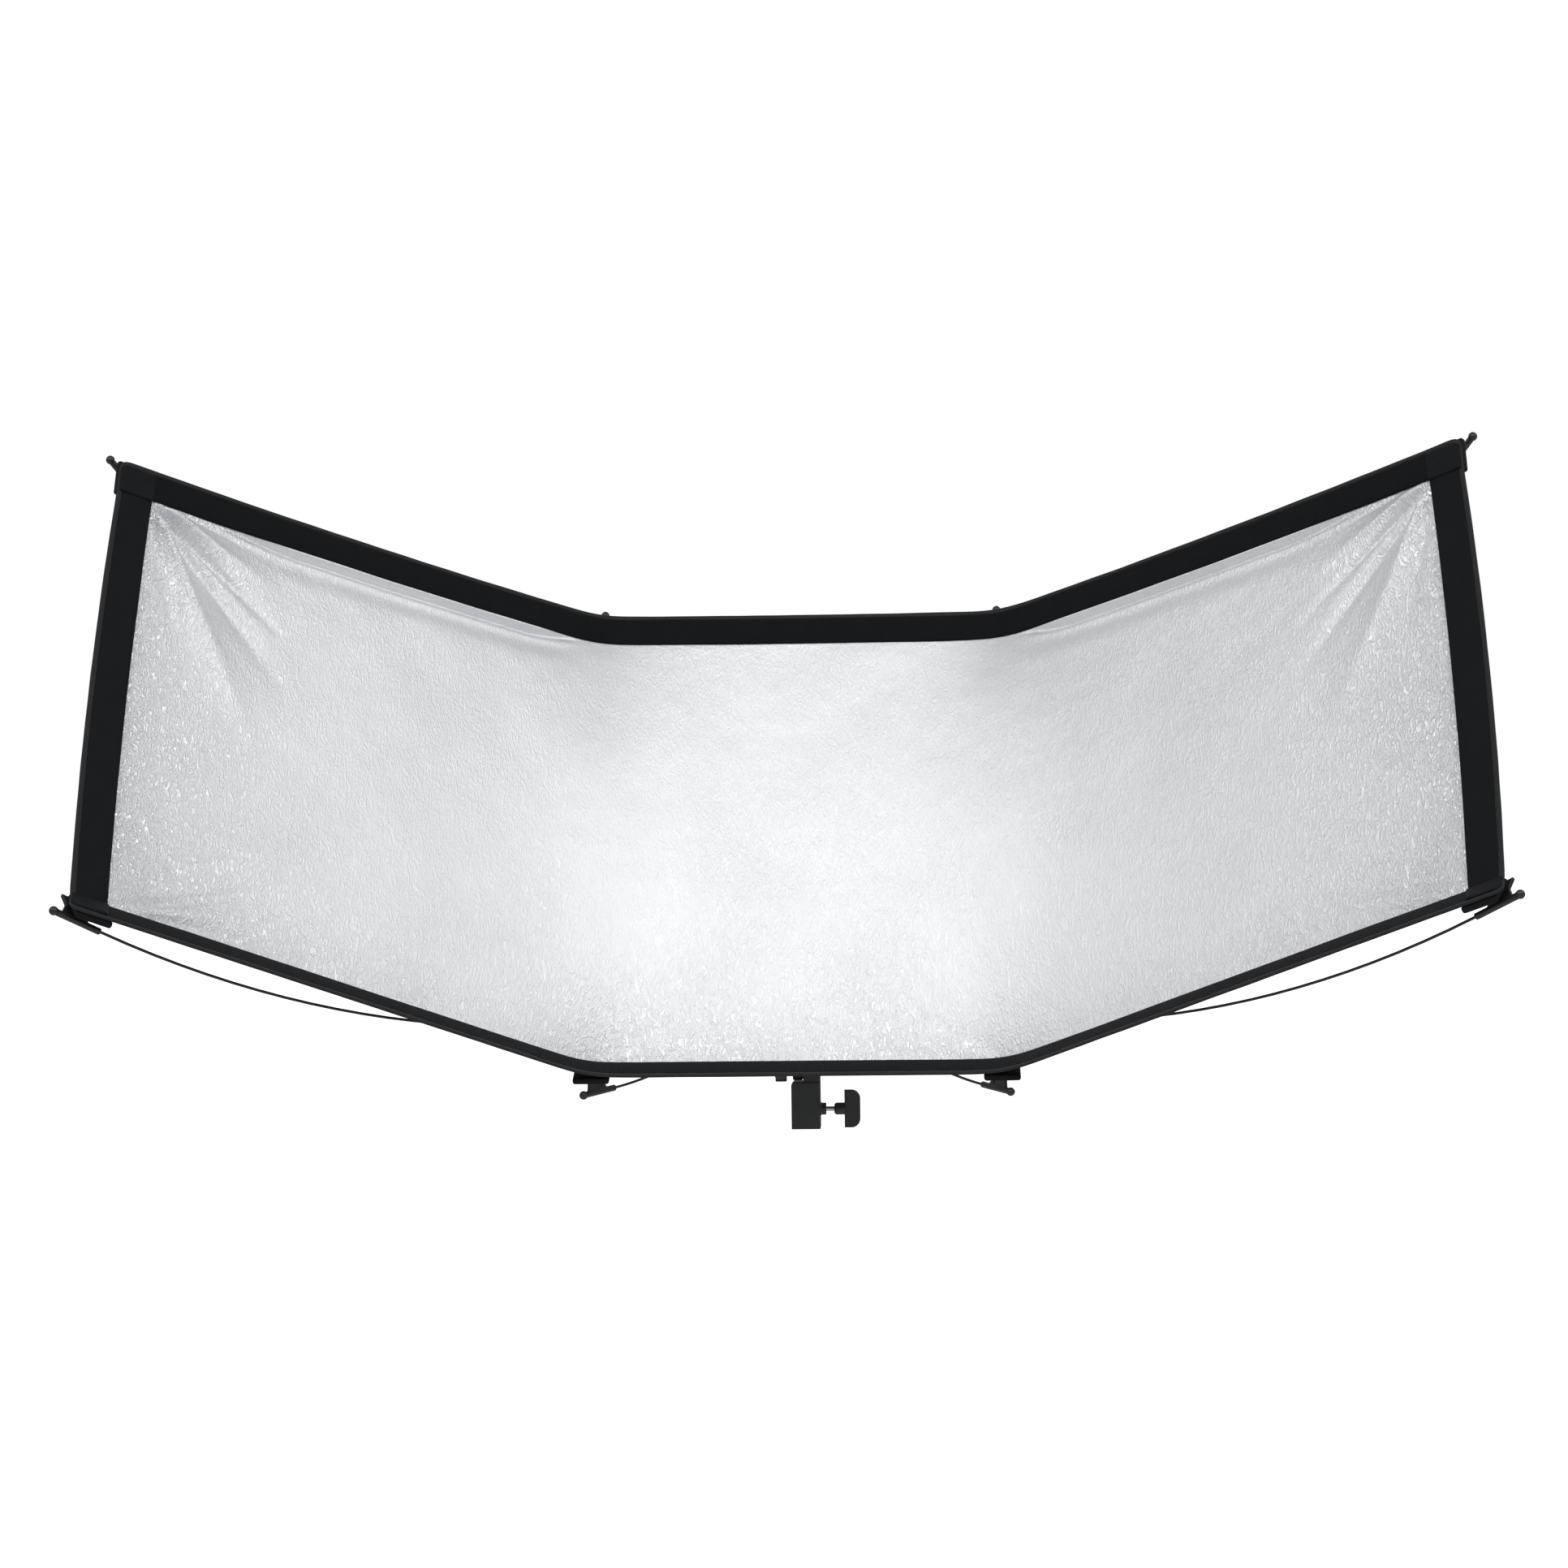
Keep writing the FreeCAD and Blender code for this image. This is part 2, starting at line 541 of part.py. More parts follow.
def stand_block():
    block = box_about(V(0, 0, BLOCK_HEIGHT / 2), V(BLOCK_WIDTH, BLOCK_DEPTH, BLOCK_HEIGHT))
    upright = [edge for edge in block.Edges if edge.BoundBox.ZLength > BLOCK_HEIGHT - TOLERANCE]
    block = block.makeFillet(BLOCK_ROUND, upright)
    shoulder = Part.Face(Part.makePolygon([
        V(-BLOCK_RIGHT, 0, BLOCK_HEIGHT - BLOCK_CHAMFER),
        V(-BLOCK_RIGHT + BLOCK_CHAMFER, 0, BLOCK_HEIGHT),
        V(-BLOCK_RIGHT, 0, BLOCK_HEIGHT), V(-BLOCK_RIGHT, 0, BLOCK_HEIGHT - BLOCK_CHAMFER)]))
    shoulder = shoulder.extrude(Y_AXIS * BLOCK_DEPTH)
    shoulder.translate(Y_AXIS * (-BLOCK_DEPTH / 2))
    block = block.cut(shoulder)
    ear_foot = Part.makeBox(BLOCK_EAR_WIDTH, 2 * EAR_RADIUS, PIVOT_HEIGHT - BLOCK_HEIGHT + OVERLAP,
                            V(EAR_INNER, -EAR_RADIUS, BLOCK_HEIGHT - OVERLAP))
    ear = ear_foot.fuse(across(EAR_INNER, PIVOT_HEIGHT, BLOCK_EAR_WIDTH, EAR_RADIUS))
    boss = across(BLOCK_RIGHT - OVERLAP, LOCK_HEIGHT, BOSS_LENGTH + OVERLAP, BOSS_DIA / 2)
    body = block.multiFuse([ear, boss]).removeSplitter()
    root = [edge for edge in body.Edges if isinstance(edge.Curve, Part.Circle)
            and abs(edge.Curve.Center.x - BLOCK_RIGHT) < TOLERANCE
            and abs(edge.Curve.Center.z - LOCK_HEIGHT) < TOLERANCE]
    body = body.makeFillet(BOSS_FILLET, root)
    cuts = [
        rod_along(V(0, 0, 0), Z_AXIS, SOCKET_DEPTH, LINER_RADIUS + SEAT_FIT),
        across(0, LOCK_HEIGHT, BOSS_FACE, LOCK_PAD_DIA / 2 + LOCK_PAD_FIT),
        across(BOSS_FACE - BOSS_NUT_LENGTH, LOCK_HEIGHT, BOSS_NUT_LENGTH, BOSS_NUT_DIA / 2 + SEAT_FIT),
        across(EAR_INNER, PIVOT_HEIGHT, BLOCK_EAR_WIDTH, TILT_BOLT_DIA / 2 + THREAD_FIT),
        hexagon(HEAD_SEAT, PIVOT_HEIGHT, TILT_HEAD_ACROSS + 2 * HEAD_FIT, BLOCK_RIGHT - HEAD_SEAT),
    ]
    return body.cut(cuts)


def socket_liner():
    tube = rod_along(V(0, 0, 0), Z_AXIS, SOCKET_DEPTH, LINER_RADIUS)
    tube = tube.cut(rod_along(V(0, 0, 0), Z_AXIS, SOCKET_DEPTH, SOCKET_RADIUS))
    return tube.cut(across(0, LOCK_HEIGHT, LINER_RADIUS + OVERLAP, LOCK_PAD_DIA / 2 + LOCK_PAD_FIT))


def boss_nut():
    bush = across(BOSS_FACE - BOSS_NUT_LENGTH, LOCK_HEIGHT, BOSS_NUT_LENGTH, BOSS_NUT_DIA / 2)
    return bush.cut(across(0, LOCK_HEIGHT, BOSS_FACE, LOCK_SCREW_DIA / 2 + THREAD_FIT))


def lock_pad():
    return across(PAD_FACE, LOCK_HEIGHT, LOCK_PAD_LENGTH, LOCK_PAD_DIA / 2)


def lock_screw():
    length = KNOB_START + LOCK_SCREW_IN_KNOB - PAD_REAR
    return across(PAD_REAR, LOCK_HEIGHT, length, LOCK_SCREW_DIA / 2)


def lock_knob():
    """T-shaped knob: a round hub with a flat upright wing, straight inside and rounded outside."""
    hub = across(KNOB_START, LOCK_HEIGHT, KNOB_HUB_LENGTH + OVERLAP, KNOB_HUB_DIA / 2)
    front = [edge for edge in hub.Edges if edge.BoundBox.XMax < KNOB_START + TOLERANCE]
    hub = hub.makeChamfer(KNOB_HUB_CHAMFER, front)
    wing_start = KNOB_START + KNOB_HUB_LENGTH
    middle = V(wing_start + KNOB_WING_LENGTH / 2, 0, LOCK_HEIGHT)
    wing = box_about(middle, V(KNOB_WING_LENGTH, KNOB_WING_THICK, KNOB_WING_HEIGHT))
    outer = [edge for edge in wing.Edges if edge.BoundBox.YLength > KNOB_WING_THICK - TOLERANCE
             and edge.BoundBox.XMin > wing_start + TOLERANCE]
    wing = wing.makeFillet(KNOB_WING_ROUND, outer)
    rims = [edge for edge in wing.Edges if edge.BoundBox.YLength < TOLERANCE]
    wing = wing.makeFillet(KNOB_EDGE_ROUND, rims)
    body = hub.fuse(wing).removeSplitter()
    bore = across(KNOB_START, LOCK_HEIGHT, LOCK_SCREW_IN_KNOB, LOCK_SCREW_DIA / 2 + SEAT_FIT)
    return body.cut(bore)


def tilt_bolt():
    end = KNOB_RIGHT - TILT_KNOB_HUB_LENGTH - TILT_KNOB_LENGTH + TILT_KNOB_WALL + TILT_TRAVEL
    shank = across(end, PIVOT_HEIGHT, HEAD_SEAT - end, TILT_BOLT_DIA / 2)
    head = hexagon(HEAD_SEAT, PIVOT_HEIGHT, TILT_HEAD_ACROSS, TILT_HEAD_THICK)
    return shank.fuse(head).removeSplitter()


def tilt_disc():
    """Friction disc between the block's ear and the arm's ear."""
    disc = across(DISC_INNER, PIVOT_HEIGHT, DISC_THICK, EAR_RADIUS - DISC_INSET)
    return disc.cut(across(DISC_INNER, PIVOT_HEIGHT, DISC_THICK, TILT_BOLT_DIA / 2 + THREAD_FIT))


def tilt_washer():
    start = WASHER_RIGHT - TILT_WASHER_THICK
    washer = across(start, PIVOT_HEIGHT, TILT_WASHER_THICK, TILT_WASHER_DIA / 2)
    return washer.cut(across(start, PIVOT_HEIGHT, TILT_WASHER_THICK, TILT_BOLT_DIA / 2 + THREAD_FIT))


def tilt_knob():
    """Round knob with flutes on the tilt bolt's free end."""
    left = KNOB_RIGHT - TILT_KNOB_HUB_LENGTH - TILT_KNOB_LENGTH
    grip = across(left, PIVOT_HEIGHT, TILT_KNOB_LENGTH, TILT_KNOB_DIA / 2)
    flutes = []
    for i in range(TILT_KNOB_LOBES):
        angle = 2 * math.pi * (i + 0.5) / TILT_KNOB_LOBES
        out = V(0, math.sin(angle), math.cos(angle)) * (TILT_KNOB_DIA / 2)
        place = V(left, 0, PIVOT_HEIGHT) + out
        flutes.append(Part.makeCylinder(TILT_KNOB_FLUTE / 2, TILT_KNOB_LENGTH, place, X_AXIS))
    grip = grip.cut(flutes)
    rims = [edge for edge in grip.Edges if edge.BoundBox.XLength < TOLERANCE]
    grip = grip.makeFillet(KNOB_EDGE_ROUND, rims)
    hub_start = left + TILT_KNOB_LENGTH - OVERLAP
    hub = across(hub_start, PIVOT_HEIGHT, TILT_KNOB_HUB_LENGTH + OVERLAP, TILT_KNOB_HUB_DIA / 2)
    body = grip.fuse(hub).removeSplitter()
    depth = KNOB_RIGHT - left - TILT_KNOB_WALL
    return body.cut(across(left + TILT_KNOB_WALL, PIVOT_HEIGHT, depth, TILT_BOLT_DIA / 2 + THREAD_FIT))


def tilt_arm():
    """Arm from the tilt joint up to the flange under the hub."""
    half = ARM_DEPTH / 2
    shoulder = PIVOT_HEIGHT + EAR_RADIUS + 2 * EAR_GAP
    ear = across(ARM_EAR_LEFT, PIVOT_HEIGHT, ARM_EAR_WIDTH, EAR_RADIUS)
    neck = Part.makeBox(ARM_EAR_WIDTH, ARM_DEPTH, shoulder - PIVOT_HEIGHT + OVERLAP,
                        V(ARM_EAR_LEFT, -half, PIVOT_HEIGHT))
    under = PAD_LEVEL + FLANGE_THICK
    left = ARM_EAR_LEFT
    high = [PANEL_PLACE.multVec(HUB_IN_PANEL + V(0, y, -under)) for y in (half, -half)]
    side = [V(left, -half, shoulder), V(left, half, shoulder)] + [V(left, p.y, p.z) for p in high]
    column = Part.Face(Part.makePolygon(side + [side[0]])).extrude(X_AXIS * (-2 * left))
    flange = stand_up(box_about(HUB_IN_PANEL - Z_AXIS * (under - FLANGE_THICK / 2),
                                V(PAD_WIDTH, PAD_DEPTH, FLANGE_THICK)))
    body = ear.multiFuse([neck, column, flange]).removeSplitter()
    cuts = [across(ARM_EAR_LEFT, PIVOT_HEIGHT, ARM_EAR_WIDTH, TILT_BOLT_DIA / 2 + THREAD_FIT)]
    for place in arm_screw_places():
        seat = HUB_IN_PANEL - Z_AXIS * under + place
        hole = rod_along(seat, Z_AXIS, FLANGE_THICK, ARM_SCREW_DIA / 2 + THREAD_FIT)
        well = rod_along(seat, Z_AXIS * -1, ARM_HEAD_WELL, ARM_HEAD_DIA / 2 + ARM_HEAD_ROOM)
        cuts += [stand_up(hole), stand_up(well)]
    return body.cut(cuts)


# ---- write every sub-part ---------------------------------------------------------------------
os.makedirs("parts", exist_ok=True)

save("stand_block", stand_block())
save("socket_liner", socket_liner())
save("boss_nut", boss_nut())
save("lock_pad", lock_pad())
save("lock_screw", lock_screw())
save("lock_knob", lock_knob())
save("tilt_bolt", tilt_bolt())
save("tilt_disc", tilt_disc())
save("tilt_washer", tilt_washer())
save("tilt_knob", tilt_knob())
save("tilt_arm", tilt_arm())
save("arm_screws", stand_up(arm_screws()))
save("hub_body", stand_up(hub_body()))
save("hub_cover", stand_up(hub_cover()))
save("hub_screws", stand_up(hub_screws()))
save("rod_ferrules", stand_up(ferrules()))

save("cloth_centre", stand_up(cloth_centre()))
for side in ("top", "bottom"):
    save("band_centre_" + side, stand_up(centre_edging(side, 0, BAND_WIDTH, BAND_THICK)))
    save("hem_centre_" + side, stand_up(centre_edging(side, BAND_WIDTH, EDGE_WIDTH, HEM_THICK)))

for hand, turned in (("right", lambda shape: shape), ("left", mirror)):
    save("cloth_wing_" + hand, stand_up(turned(cloth_wing())))
    for side in ("top", "bottom"):
        band = wing_edging(side, 0, BAND_WIDTH, BAND_THICK)
        hem = wing_edging(side, BAND_WIDTH, EDGE_WIDTH, HEM_THICK)
        save("band_wing_" + side + "_" + hand, stand_up(turned(band)))
        save("hem_wing_" + side + "_" + hand, stand_up(turned(hem)))
    side_band = side_edging(0, SIDE_BAND_WIDTH, BAND_THICK)
    side_hem = side_edging(SIDE_BAND_WIDTH, SIDE_BAND_WIDTH + HEM_WIDTH, HEM_THICK)
    save("band_side_" + hand, stand_up(turned(side_band)))
    save("hem_side_" + hand, stand_up(turned(side_hem)))
    for kind in TIP_POSES:
        save("rod_" + kind + "_" + hand, stand_up(turned(rod(kind))))
        save("tip_" + kind + "_" + hand, stand_up(turned(tip(kind))))
        save("pocket_" + kind + "_" + hand, stand_up(turned(pocket(kind))))
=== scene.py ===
# %% [markdown]
# # A curved three-panel reflector
#
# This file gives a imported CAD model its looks. The real object is a sheet of silver cloth with a
# black elastic edge, stretched by eight spring rods that bow out of a hub behind it. A moulded
# block under the hub takes the stud of a lighting stand.
#
# The hard pieces (hub, rods, tips, stand block, screws) come from CAD and stay exactly where they
# are: here they only get finishes. The soft pieces (cloth, elastic bands, rolled hems, corner
# pockets) are made here, because their character is in how they hang and crease.

# %% Load the frame
import json
import math

import bmesh
import bpy
import numpy as np
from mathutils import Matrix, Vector, noise


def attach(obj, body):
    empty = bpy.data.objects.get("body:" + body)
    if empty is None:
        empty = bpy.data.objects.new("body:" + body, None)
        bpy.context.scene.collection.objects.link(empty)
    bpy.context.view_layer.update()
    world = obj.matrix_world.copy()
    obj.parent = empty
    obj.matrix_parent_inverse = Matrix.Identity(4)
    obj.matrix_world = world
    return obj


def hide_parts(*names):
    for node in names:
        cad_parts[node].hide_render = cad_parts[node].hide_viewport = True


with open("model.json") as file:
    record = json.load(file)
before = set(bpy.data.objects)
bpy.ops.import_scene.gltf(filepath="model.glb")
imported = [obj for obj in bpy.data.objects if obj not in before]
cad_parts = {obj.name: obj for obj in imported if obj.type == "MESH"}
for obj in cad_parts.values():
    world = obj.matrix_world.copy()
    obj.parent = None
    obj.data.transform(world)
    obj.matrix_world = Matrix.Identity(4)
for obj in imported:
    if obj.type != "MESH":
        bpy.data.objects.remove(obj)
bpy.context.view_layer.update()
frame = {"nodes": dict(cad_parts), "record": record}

# %% [markdown]
# ## The sheet's own frame
#
# The cloth leans back, so a frame that leans with it makes every later step simple. Its directions
# are read from the corners of the CAD sheet: `right` along the centre panel, `up` along its
# folds, `wing` out along the right wing and `wing back` away from its silver face. A corner of a
# thin CAD strip is the mean of the few vertices within its thickness of the outermost one.

# %% Corners of the CAD strips
THIN = 0.0055     # no strip is thicker than this, in metres


def strip_corner(node, direction):
    """Middle of a thin CAD strip's corner that lies furthest along a direction."""
    points = np.array([vertex.co for vertex in frame["nodes"][node].data.vertices])
    best = points[np.argmax(points @ np.array(direction, dtype=float))]
    near = points[np.linalg.norm(points - best, axis=1) < THIN]
    return Vector(np.unique(near.round(6), axis=0).mean(axis=0))


FOLD_TOP = strip_corner("cloth_centre", (1, 0, 9))
FOLD_BOTTOM = strip_corner("cloth_centre", (1, 0, -9))
RIGHT = Vector((1, 0, 0))
UP = (FOLD_TOP - FOLD_BOTTOM).normalized()
WING_OUTER_TOP = strip_corner("cloth_wing_right", (1, 0, 3))
WING_LOWEST = strip_corner("cloth_wing_right", (1, 0, -3))      # its corner at the fold
WING = WING_OUTER_TOP + WING_LOWEST - FOLD_TOP - FOLD_BOTTOM
WING = (WING - UP * WING.dot(UP)).normalized()
WING_BACK = UP.cross(WING)
print("fold", FOLD_BOTTOM[:], FOLD_TOP[:], "up", UP[:], "wing", WING[:])

# %% [markdown]
# ## The camera and the light
#
# The camera stands about four metres away on the silver side, a little to the right and a touch
# above the middle, with a moderately long lens, which keeps the wings from looking stretched.
# The light is a bright studio: one wide soft source above the camera, a weaker one at each side and
# a pale surround. Silver cloth shows whatever it faces, so most of its look is decided by how large
# and how bright these sources are. The backdrop and the floor look pure white to the camera, but
# light the object less than that, or every crease would be washed out.

# %% Camera
CAMERA_DISTANCE = 3.866      # metres from the aim point
CAMERA_AZIMUTH = -2.456      # degrees that the view turns to the left
CAMERA_ELEVATION = 0.975     # degrees that the view looks down
CAMERA_ROLL = -0.776         # degrees
LENS = 74.53                 # millimetres on a 36 mm wide sensor
AIM_OFF_CENTRE = Vector((-0.0163, 0.0055, 0.0720))   # from the middle of the centre panel

PANEL_MIDDLE = (FOLD_TOP + FOLD_BOTTOM) / 2 - RIGHT * FOLD_TOP.x


def view_direction(azimuth, elevation):
    """Unit vector of a view that looks along +Y, turned and tipped by these degrees."""
    turn = math.radians(azimuth)
    tip = math.radians(elevation)
    return Vector((math.sin(turn) * math.cos(tip), math.cos(turn) * math.cos(tip), -math.sin(tip)))


def add_camera():
    looking = view_direction(CAMERA_AZIMUTH, CAMERA_ELEVATION)
    data = bpy.data.cameras.new("camera")
    data.lens = LENS
    data.sensor_width = 36.0
    camera = bpy.data.objects.new("camera", data)
    bpy.context.scene.collection.objects.link(camera)
    camera.location = PANEL_MIDDLE + AIM_OFF_CENTRE - looking * CAMERA_DISTANCE
    turn = looking.to_track_quat("-Z", "Y")
    camera.rotation_euler = turn.to_euler()
    camera.rotation_euler.rotate_axis("Z", math.radians(CAMERA_ROLL))
    bpy.context.scene.camera = camera
    return camera


camera = add_camera()
print("camera at", camera.location[:])

# %% Studio light and floor
FLOOR_DROP = 1.1             # floor below the socket, as under a low stand


def add_area(name, place, aim, size, power):
    """A rectangular soft light that faces a point."""
    data = bpy.data.lights.new(name, "AREA")
    data.shape = "RECTANGLE"
    data.size, data.size_y = size
    data.energy = power
    lamp = bpy.data.objects.new(name, data)
    bpy.context.scene.collection.objects.link(lamp)
    lamp.location = place
    lamp.rotation_euler = (Vector(aim) - Vector(place)).to_track_quat("-Z", "Y").to_euler()


def add_floor():
    bm = bmesh.new()
    bmesh.ops.create_grid(bm, x_segments=2, y_segments=2, size=30.0)
    mesh = bpy.data.meshes.new("floor")
    bm.to_mesh(mesh)
    bm.free()
    floor = bpy.data.objects.new("floor", mesh)
    floor.location = (0, 0, -FLOOR_DROP)
    bpy.context.scene.collection.objects.link(floor)
    material = bpy.data.materials.new("pale floor")
    material.use_nodes = True
    shader = material.node_tree.nodes["Principled BSDF"]
    shader.inputs["Base Color"].default_value = (0.9, 0.9, 0.9, 1)
    shader.inputs["Roughness"].default_value = 0.9
    shader.inputs["Emission Color"].default_value = (1, 1, 1, 1)
    seen = material.node_tree.nodes.new("ShaderNodeLightPath")
    material.node_tree.links.new(seen.outputs["Is Camera Ray"], shader.inputs["Emission Strength"])
    floor.data.materials.append(material)


def add_surround(strength):
    """White where the camera looks, and as strong as this where it lights the object."""
    world = bpy.data.worlds.new("white studio")
    bpy.context.scene.world = world
    world.use_nodes = True
    tree = world.node_tree
    background = tree.nodes["Background"]
    background.inputs["Color"].default_value = (1, 1, 1, 1)
    seen = tree.nodes.new("ShaderNodeLightPath")
    level = tree.nodes.new("ShaderNodeMapRange")
    tree.links.new(seen.outputs["Is Camera Ray"], level.inputs["Value"])
    level.inputs["To Min"].default_value = strength
    tree.links.new(level.outputs["Result"], background.inputs["Strength"])


bpy.context.scene.view_settings.view_transform = "Standard"   # white stays white
add_floor()
add_surround(0.36)
add_area("key", (0.0, -3.1, 3.0), (0, -0.2, 0.4), (2.6, 2.0), 45)
add_area("left fill", (-3.0, -1.8, 2.8), (0.4, -0.3, 0.4), (1.5, 1.2), 24)
add_area("right fill", (3.0, -1.8, 2.8), (-0.4, -0.3, 0.4), (1.5, 1.2), 30)
print("studio is lit")

# %% [markdown]
# ## Edge lines of the cloth
#
# Everything soft follows a few lines: where the silver cloth ends, and where the black edging ends.
# Each line runs through points that are read from CAD. Between two tips the top edge is pulled
# slightly hollow and the bottom edge straight, and at a fold both turn in a short curve instead of
# a sharp corner. So a line is sampled finely, hollowed and then smoothed.

# %% Line helpers
SAMPLES = 721                # points along a top or bottom line


def mirrored(point):
    return Vector((-point.x, point.y, point.z))


def through(points, hollows, count, rounding):
    """Points evenly spaced along a route. hollows has one offset per leg, its greatest at mid-leg.
    rounding is the number of smoothing passes."""
    points = [np.array(point) for point in points]
    lengths = [np.linalg.norm(b - a) for a, b in zip(points, points[1:])]
    ends = np.concatenate([[0.0], np.cumsum(lengths)])
    line = np.zeros((count, 3))
    for i, place in enumerate(np.linspace(0, ends[-1], count)):
        leg = min(int(np.searchsorted(ends, place, side="right")) - 1, len(lengths) - 1)
        share = (place - ends[leg]) / lengths[leg]
        hollow = np.array(hollows[leg]) * 4 * share * (1 - share)
        line[i] = points[leg] + (points[leg + 1] - points[leg]) * share + hollow
    for _ in range(rounding):
        line[1:-1] = (line[:-2] + 2 * line[1:-1] + line[2:]) / 4
    return line


def at(line, share):
    """Point of a sampled line at a share of its length, from 0 to 1."""
    place = min(max(share, 0.0), 1.0) * (len(line) - 1)
    low = int(place)
    high = min(low + 1, len(line) - 1)
    return line[low] + (line[high] - line[low]) * (place - low)


# %% The four sides of the cloth
WING_HOLLOW = 0.005          # how far the top edge is pulled in between two tips of a wing
CENTRE_HOLLOW = 0.0015       # and along the centre panel; the bottom edge is pulled straight
BOTTOM_SEAM = 0.16           # share of the bottom edging that the cloth covers
CORNER_PULL = 0.012          # how far the bottom corners are pulled out along the edge
SIDE_BOW = 0.013             # how far an outer edge bows back at mid-height
FOLD_ROUNDING = 170          # smoothing passes at the folds

CORNER = {
    "top_fold": strip_corner("hem_centre_top", (1, 0, 9)),
    "bottom_fold": strip_corner("hem_centre_bottom", (3, -3, -3)),
    "top_outer": strip_corner("hem_wing_top_right", (1, 0, 3)),
    "bottom_outer": strip_corner("hem_wing_bottom_right", (1, -3, 0)),
    "top_outer_inside": strip_corner("band_wing_top_right", (9, 0, -1)),
    "bottom_outer_inside": strip_corner("band_wing_bottom_right", (9, 0, 9)),
}
outwards = (CORNER["bottom_outer"] - CORNER["bottom_fold"]).normalized()
CORNER["bottom_outer"] += outwards * CORNER_PULL
for name, point in CORNER.items():
    print(name, [round(value, 4) for value in point])

# %% Inner and outer line of the edging
WING_LEFT_BACK = mirrored(WING_BACK)


def edge_lines(inner_fold, inner_outer, outer_fold, outer_outer, wing_hollow, centre_hollow, seam):
    """The edging's inner and outer line along the top or the bottom, from left to right. The
    hollows are pulls at mid-leg, and seam is the share of the edging that the cloth covers."""
    hollows = [wing_hollow, centre_hollow, wing_hollow]
    inner_fold = inner_fold.lerp(outer_fold, seam)
    inner_outer = inner_outer.lerp(outer_outer, seam)
    lines = []
    for fold, outer in ((inner_fold, inner_outer), (outer_fold, outer_outer)):
        route = [mirrored(outer), mirrored(fold), fold, outer]
        lines.append(through(route, hollows, SAMPLES, FOLD_ROUNDING))
    return lines


TOP_INNER, TOP_OUTER = edge_lines(
    FOLD_TOP, CORNER["top_outer_inside"], CORNER["top_fold"], CORNER["top_outer"],
    -UP * WING_HOLLOW, -UP * CENTRE_HOLLOW, 0.0)
BOTTOM_INNER, BOTTOM_OUTER = edge_lines(
    FOLD_BOTTOM, CORNER["bottom_outer_inside"], CORNER["bottom_fold"], CORNER["bottom_outer"],
    UP * 0, UP * 0, BOTTOM_SEAM)
TOP_LINES, BOTTOM_LINES = (TOP_INNER, TOP_OUTER), (BOTTOM_INNER, BOTTOM_OUTER)
LENGTH = float(np.linalg.norm(np.diff(TOP_INNER, axis=0), axis=1).sum())
print("edge length", round(LENGTH, 4))

# %% [markdown]
# ## A ribbon from a grid
#
# The cloth, the bands, the hem and the corner patches are all ribbons: a grid whose two directions
# run along and across the piece. Each of its vertices is put on the piece's surface, and a UV map
# in metres is written so that weave and ribs keep their real size.
# The surface itself is a small function of two shares, so a ribbon can follow any pair of lines.

# %% Ribbon maker
def ribbon(name, surface, along, across, size):
    """A grid laid on surface(u, v), both from 0 to 1. size is its flat size, for the UV map."""
    bm = bmesh.new()
    bmesh.ops.create_grid(bm, x_segments=along, y_segments=across, size=0.5)
    uv_layer = bm.loops.layers.uv.new("flat")
    shares = {vertex: (vertex.co.x + 0.5, vertex.co.y + 0.5) for vertex in bm.verts}
    for face in bm.faces:
        face.smooth = True
        for loop in face.loops:
            share = shares[loop.vert]
            loop[uv_layer].uv = (share[0] * size[0], share[1] * size[1])
    for vertex, share in shares.items():
        vertex.co = surface(share[0], share[1])
    return finished(name, bm)


def finished(name, bm):
    """Turn a bmesh into an object in the scene."""
    mesh = bpy.data.meshes.new(name)
    bm.to_mesh(mesh)
    bm.free()
    piece = bpy.data.objects.new(name, mesh)
    bpy.context.scene.collection.objects.link(piece)
    return piece


def thicken(piece, thickness, offset=0.0, back_material=0):
    """Give a ribbon its wall. back_material steps the back and the rim to a later material slot."""
    solid = piece.modifiers.new("wall", "SOLIDIFY")
    solid.thickness = thickness
    solid.offset = offset
    solid.use_even_offset = False
    solid.material_offset = back_material
    solid.material_offset_rim = back_material


# %% [markdown]
# ## The silver cloth
#
# The cloth is one sheet. Its edges are held in the folded shape, but in the middle nothing holds
# it, so it finds the shape of a soap film: the fold is crisp near the tips and rounds off towards
# mid-height. That is what relaxing does here: every inner point moves again and again to the mean
# of its neighbours. The cloth is pulled harder from top to bottom than from side to side, so the
# neighbours above and below count for more, and the rounding stays narrow.

# %% Relax the film
COLUMNS = 300
ROWS = 88
UPRIGHT_PULL = 5.0           # pull from above and below against pull from the sides
RELAX_STEPS = 2600
SIDE_EDGING = 0.0415         # side band and hem together
TUCK = 0.004                 # how far the cloth goes on under its edging
INSET = (SIDE_EDGING - TUCK) / LENGTH
BOW_FADE = 0.12              # how fast the bow dies away from the outer edge, in metres


def bow_push(place, share):
    """The bow of a point on the wings, which dies away from the outer edges. place runs from 0 to 1
    along the whole edging."""
    from_left = math.exp(-place * LENGTH / BOW_FADE)
    from_right = math.exp(-(1 - place) * LENGTH / BOW_FADE)
    push = np.array(WING_LEFT_BACK) * from_left + np.array(WING_BACK) * from_right
    share = min(max(share, 0.0), 1.0)
    return push * (SIDE_BOW * 4 * share * (1 - share))


def film_start(u, v):
    """The cloth before it relaxes: straight lines from the bottom edge to the top edge."""
    place = INSET + u * (1 - 2 * INSET)
    low = at(BOTTOM_INNER, place)
    high = at(TOP_INNER, place)
    rise = (high - low) / np.linalg.norm(high - low)
    low = low - rise * TUCK
    high = high + rise * TUCK
    return low + (high - low) * v + bow_push(place, v)


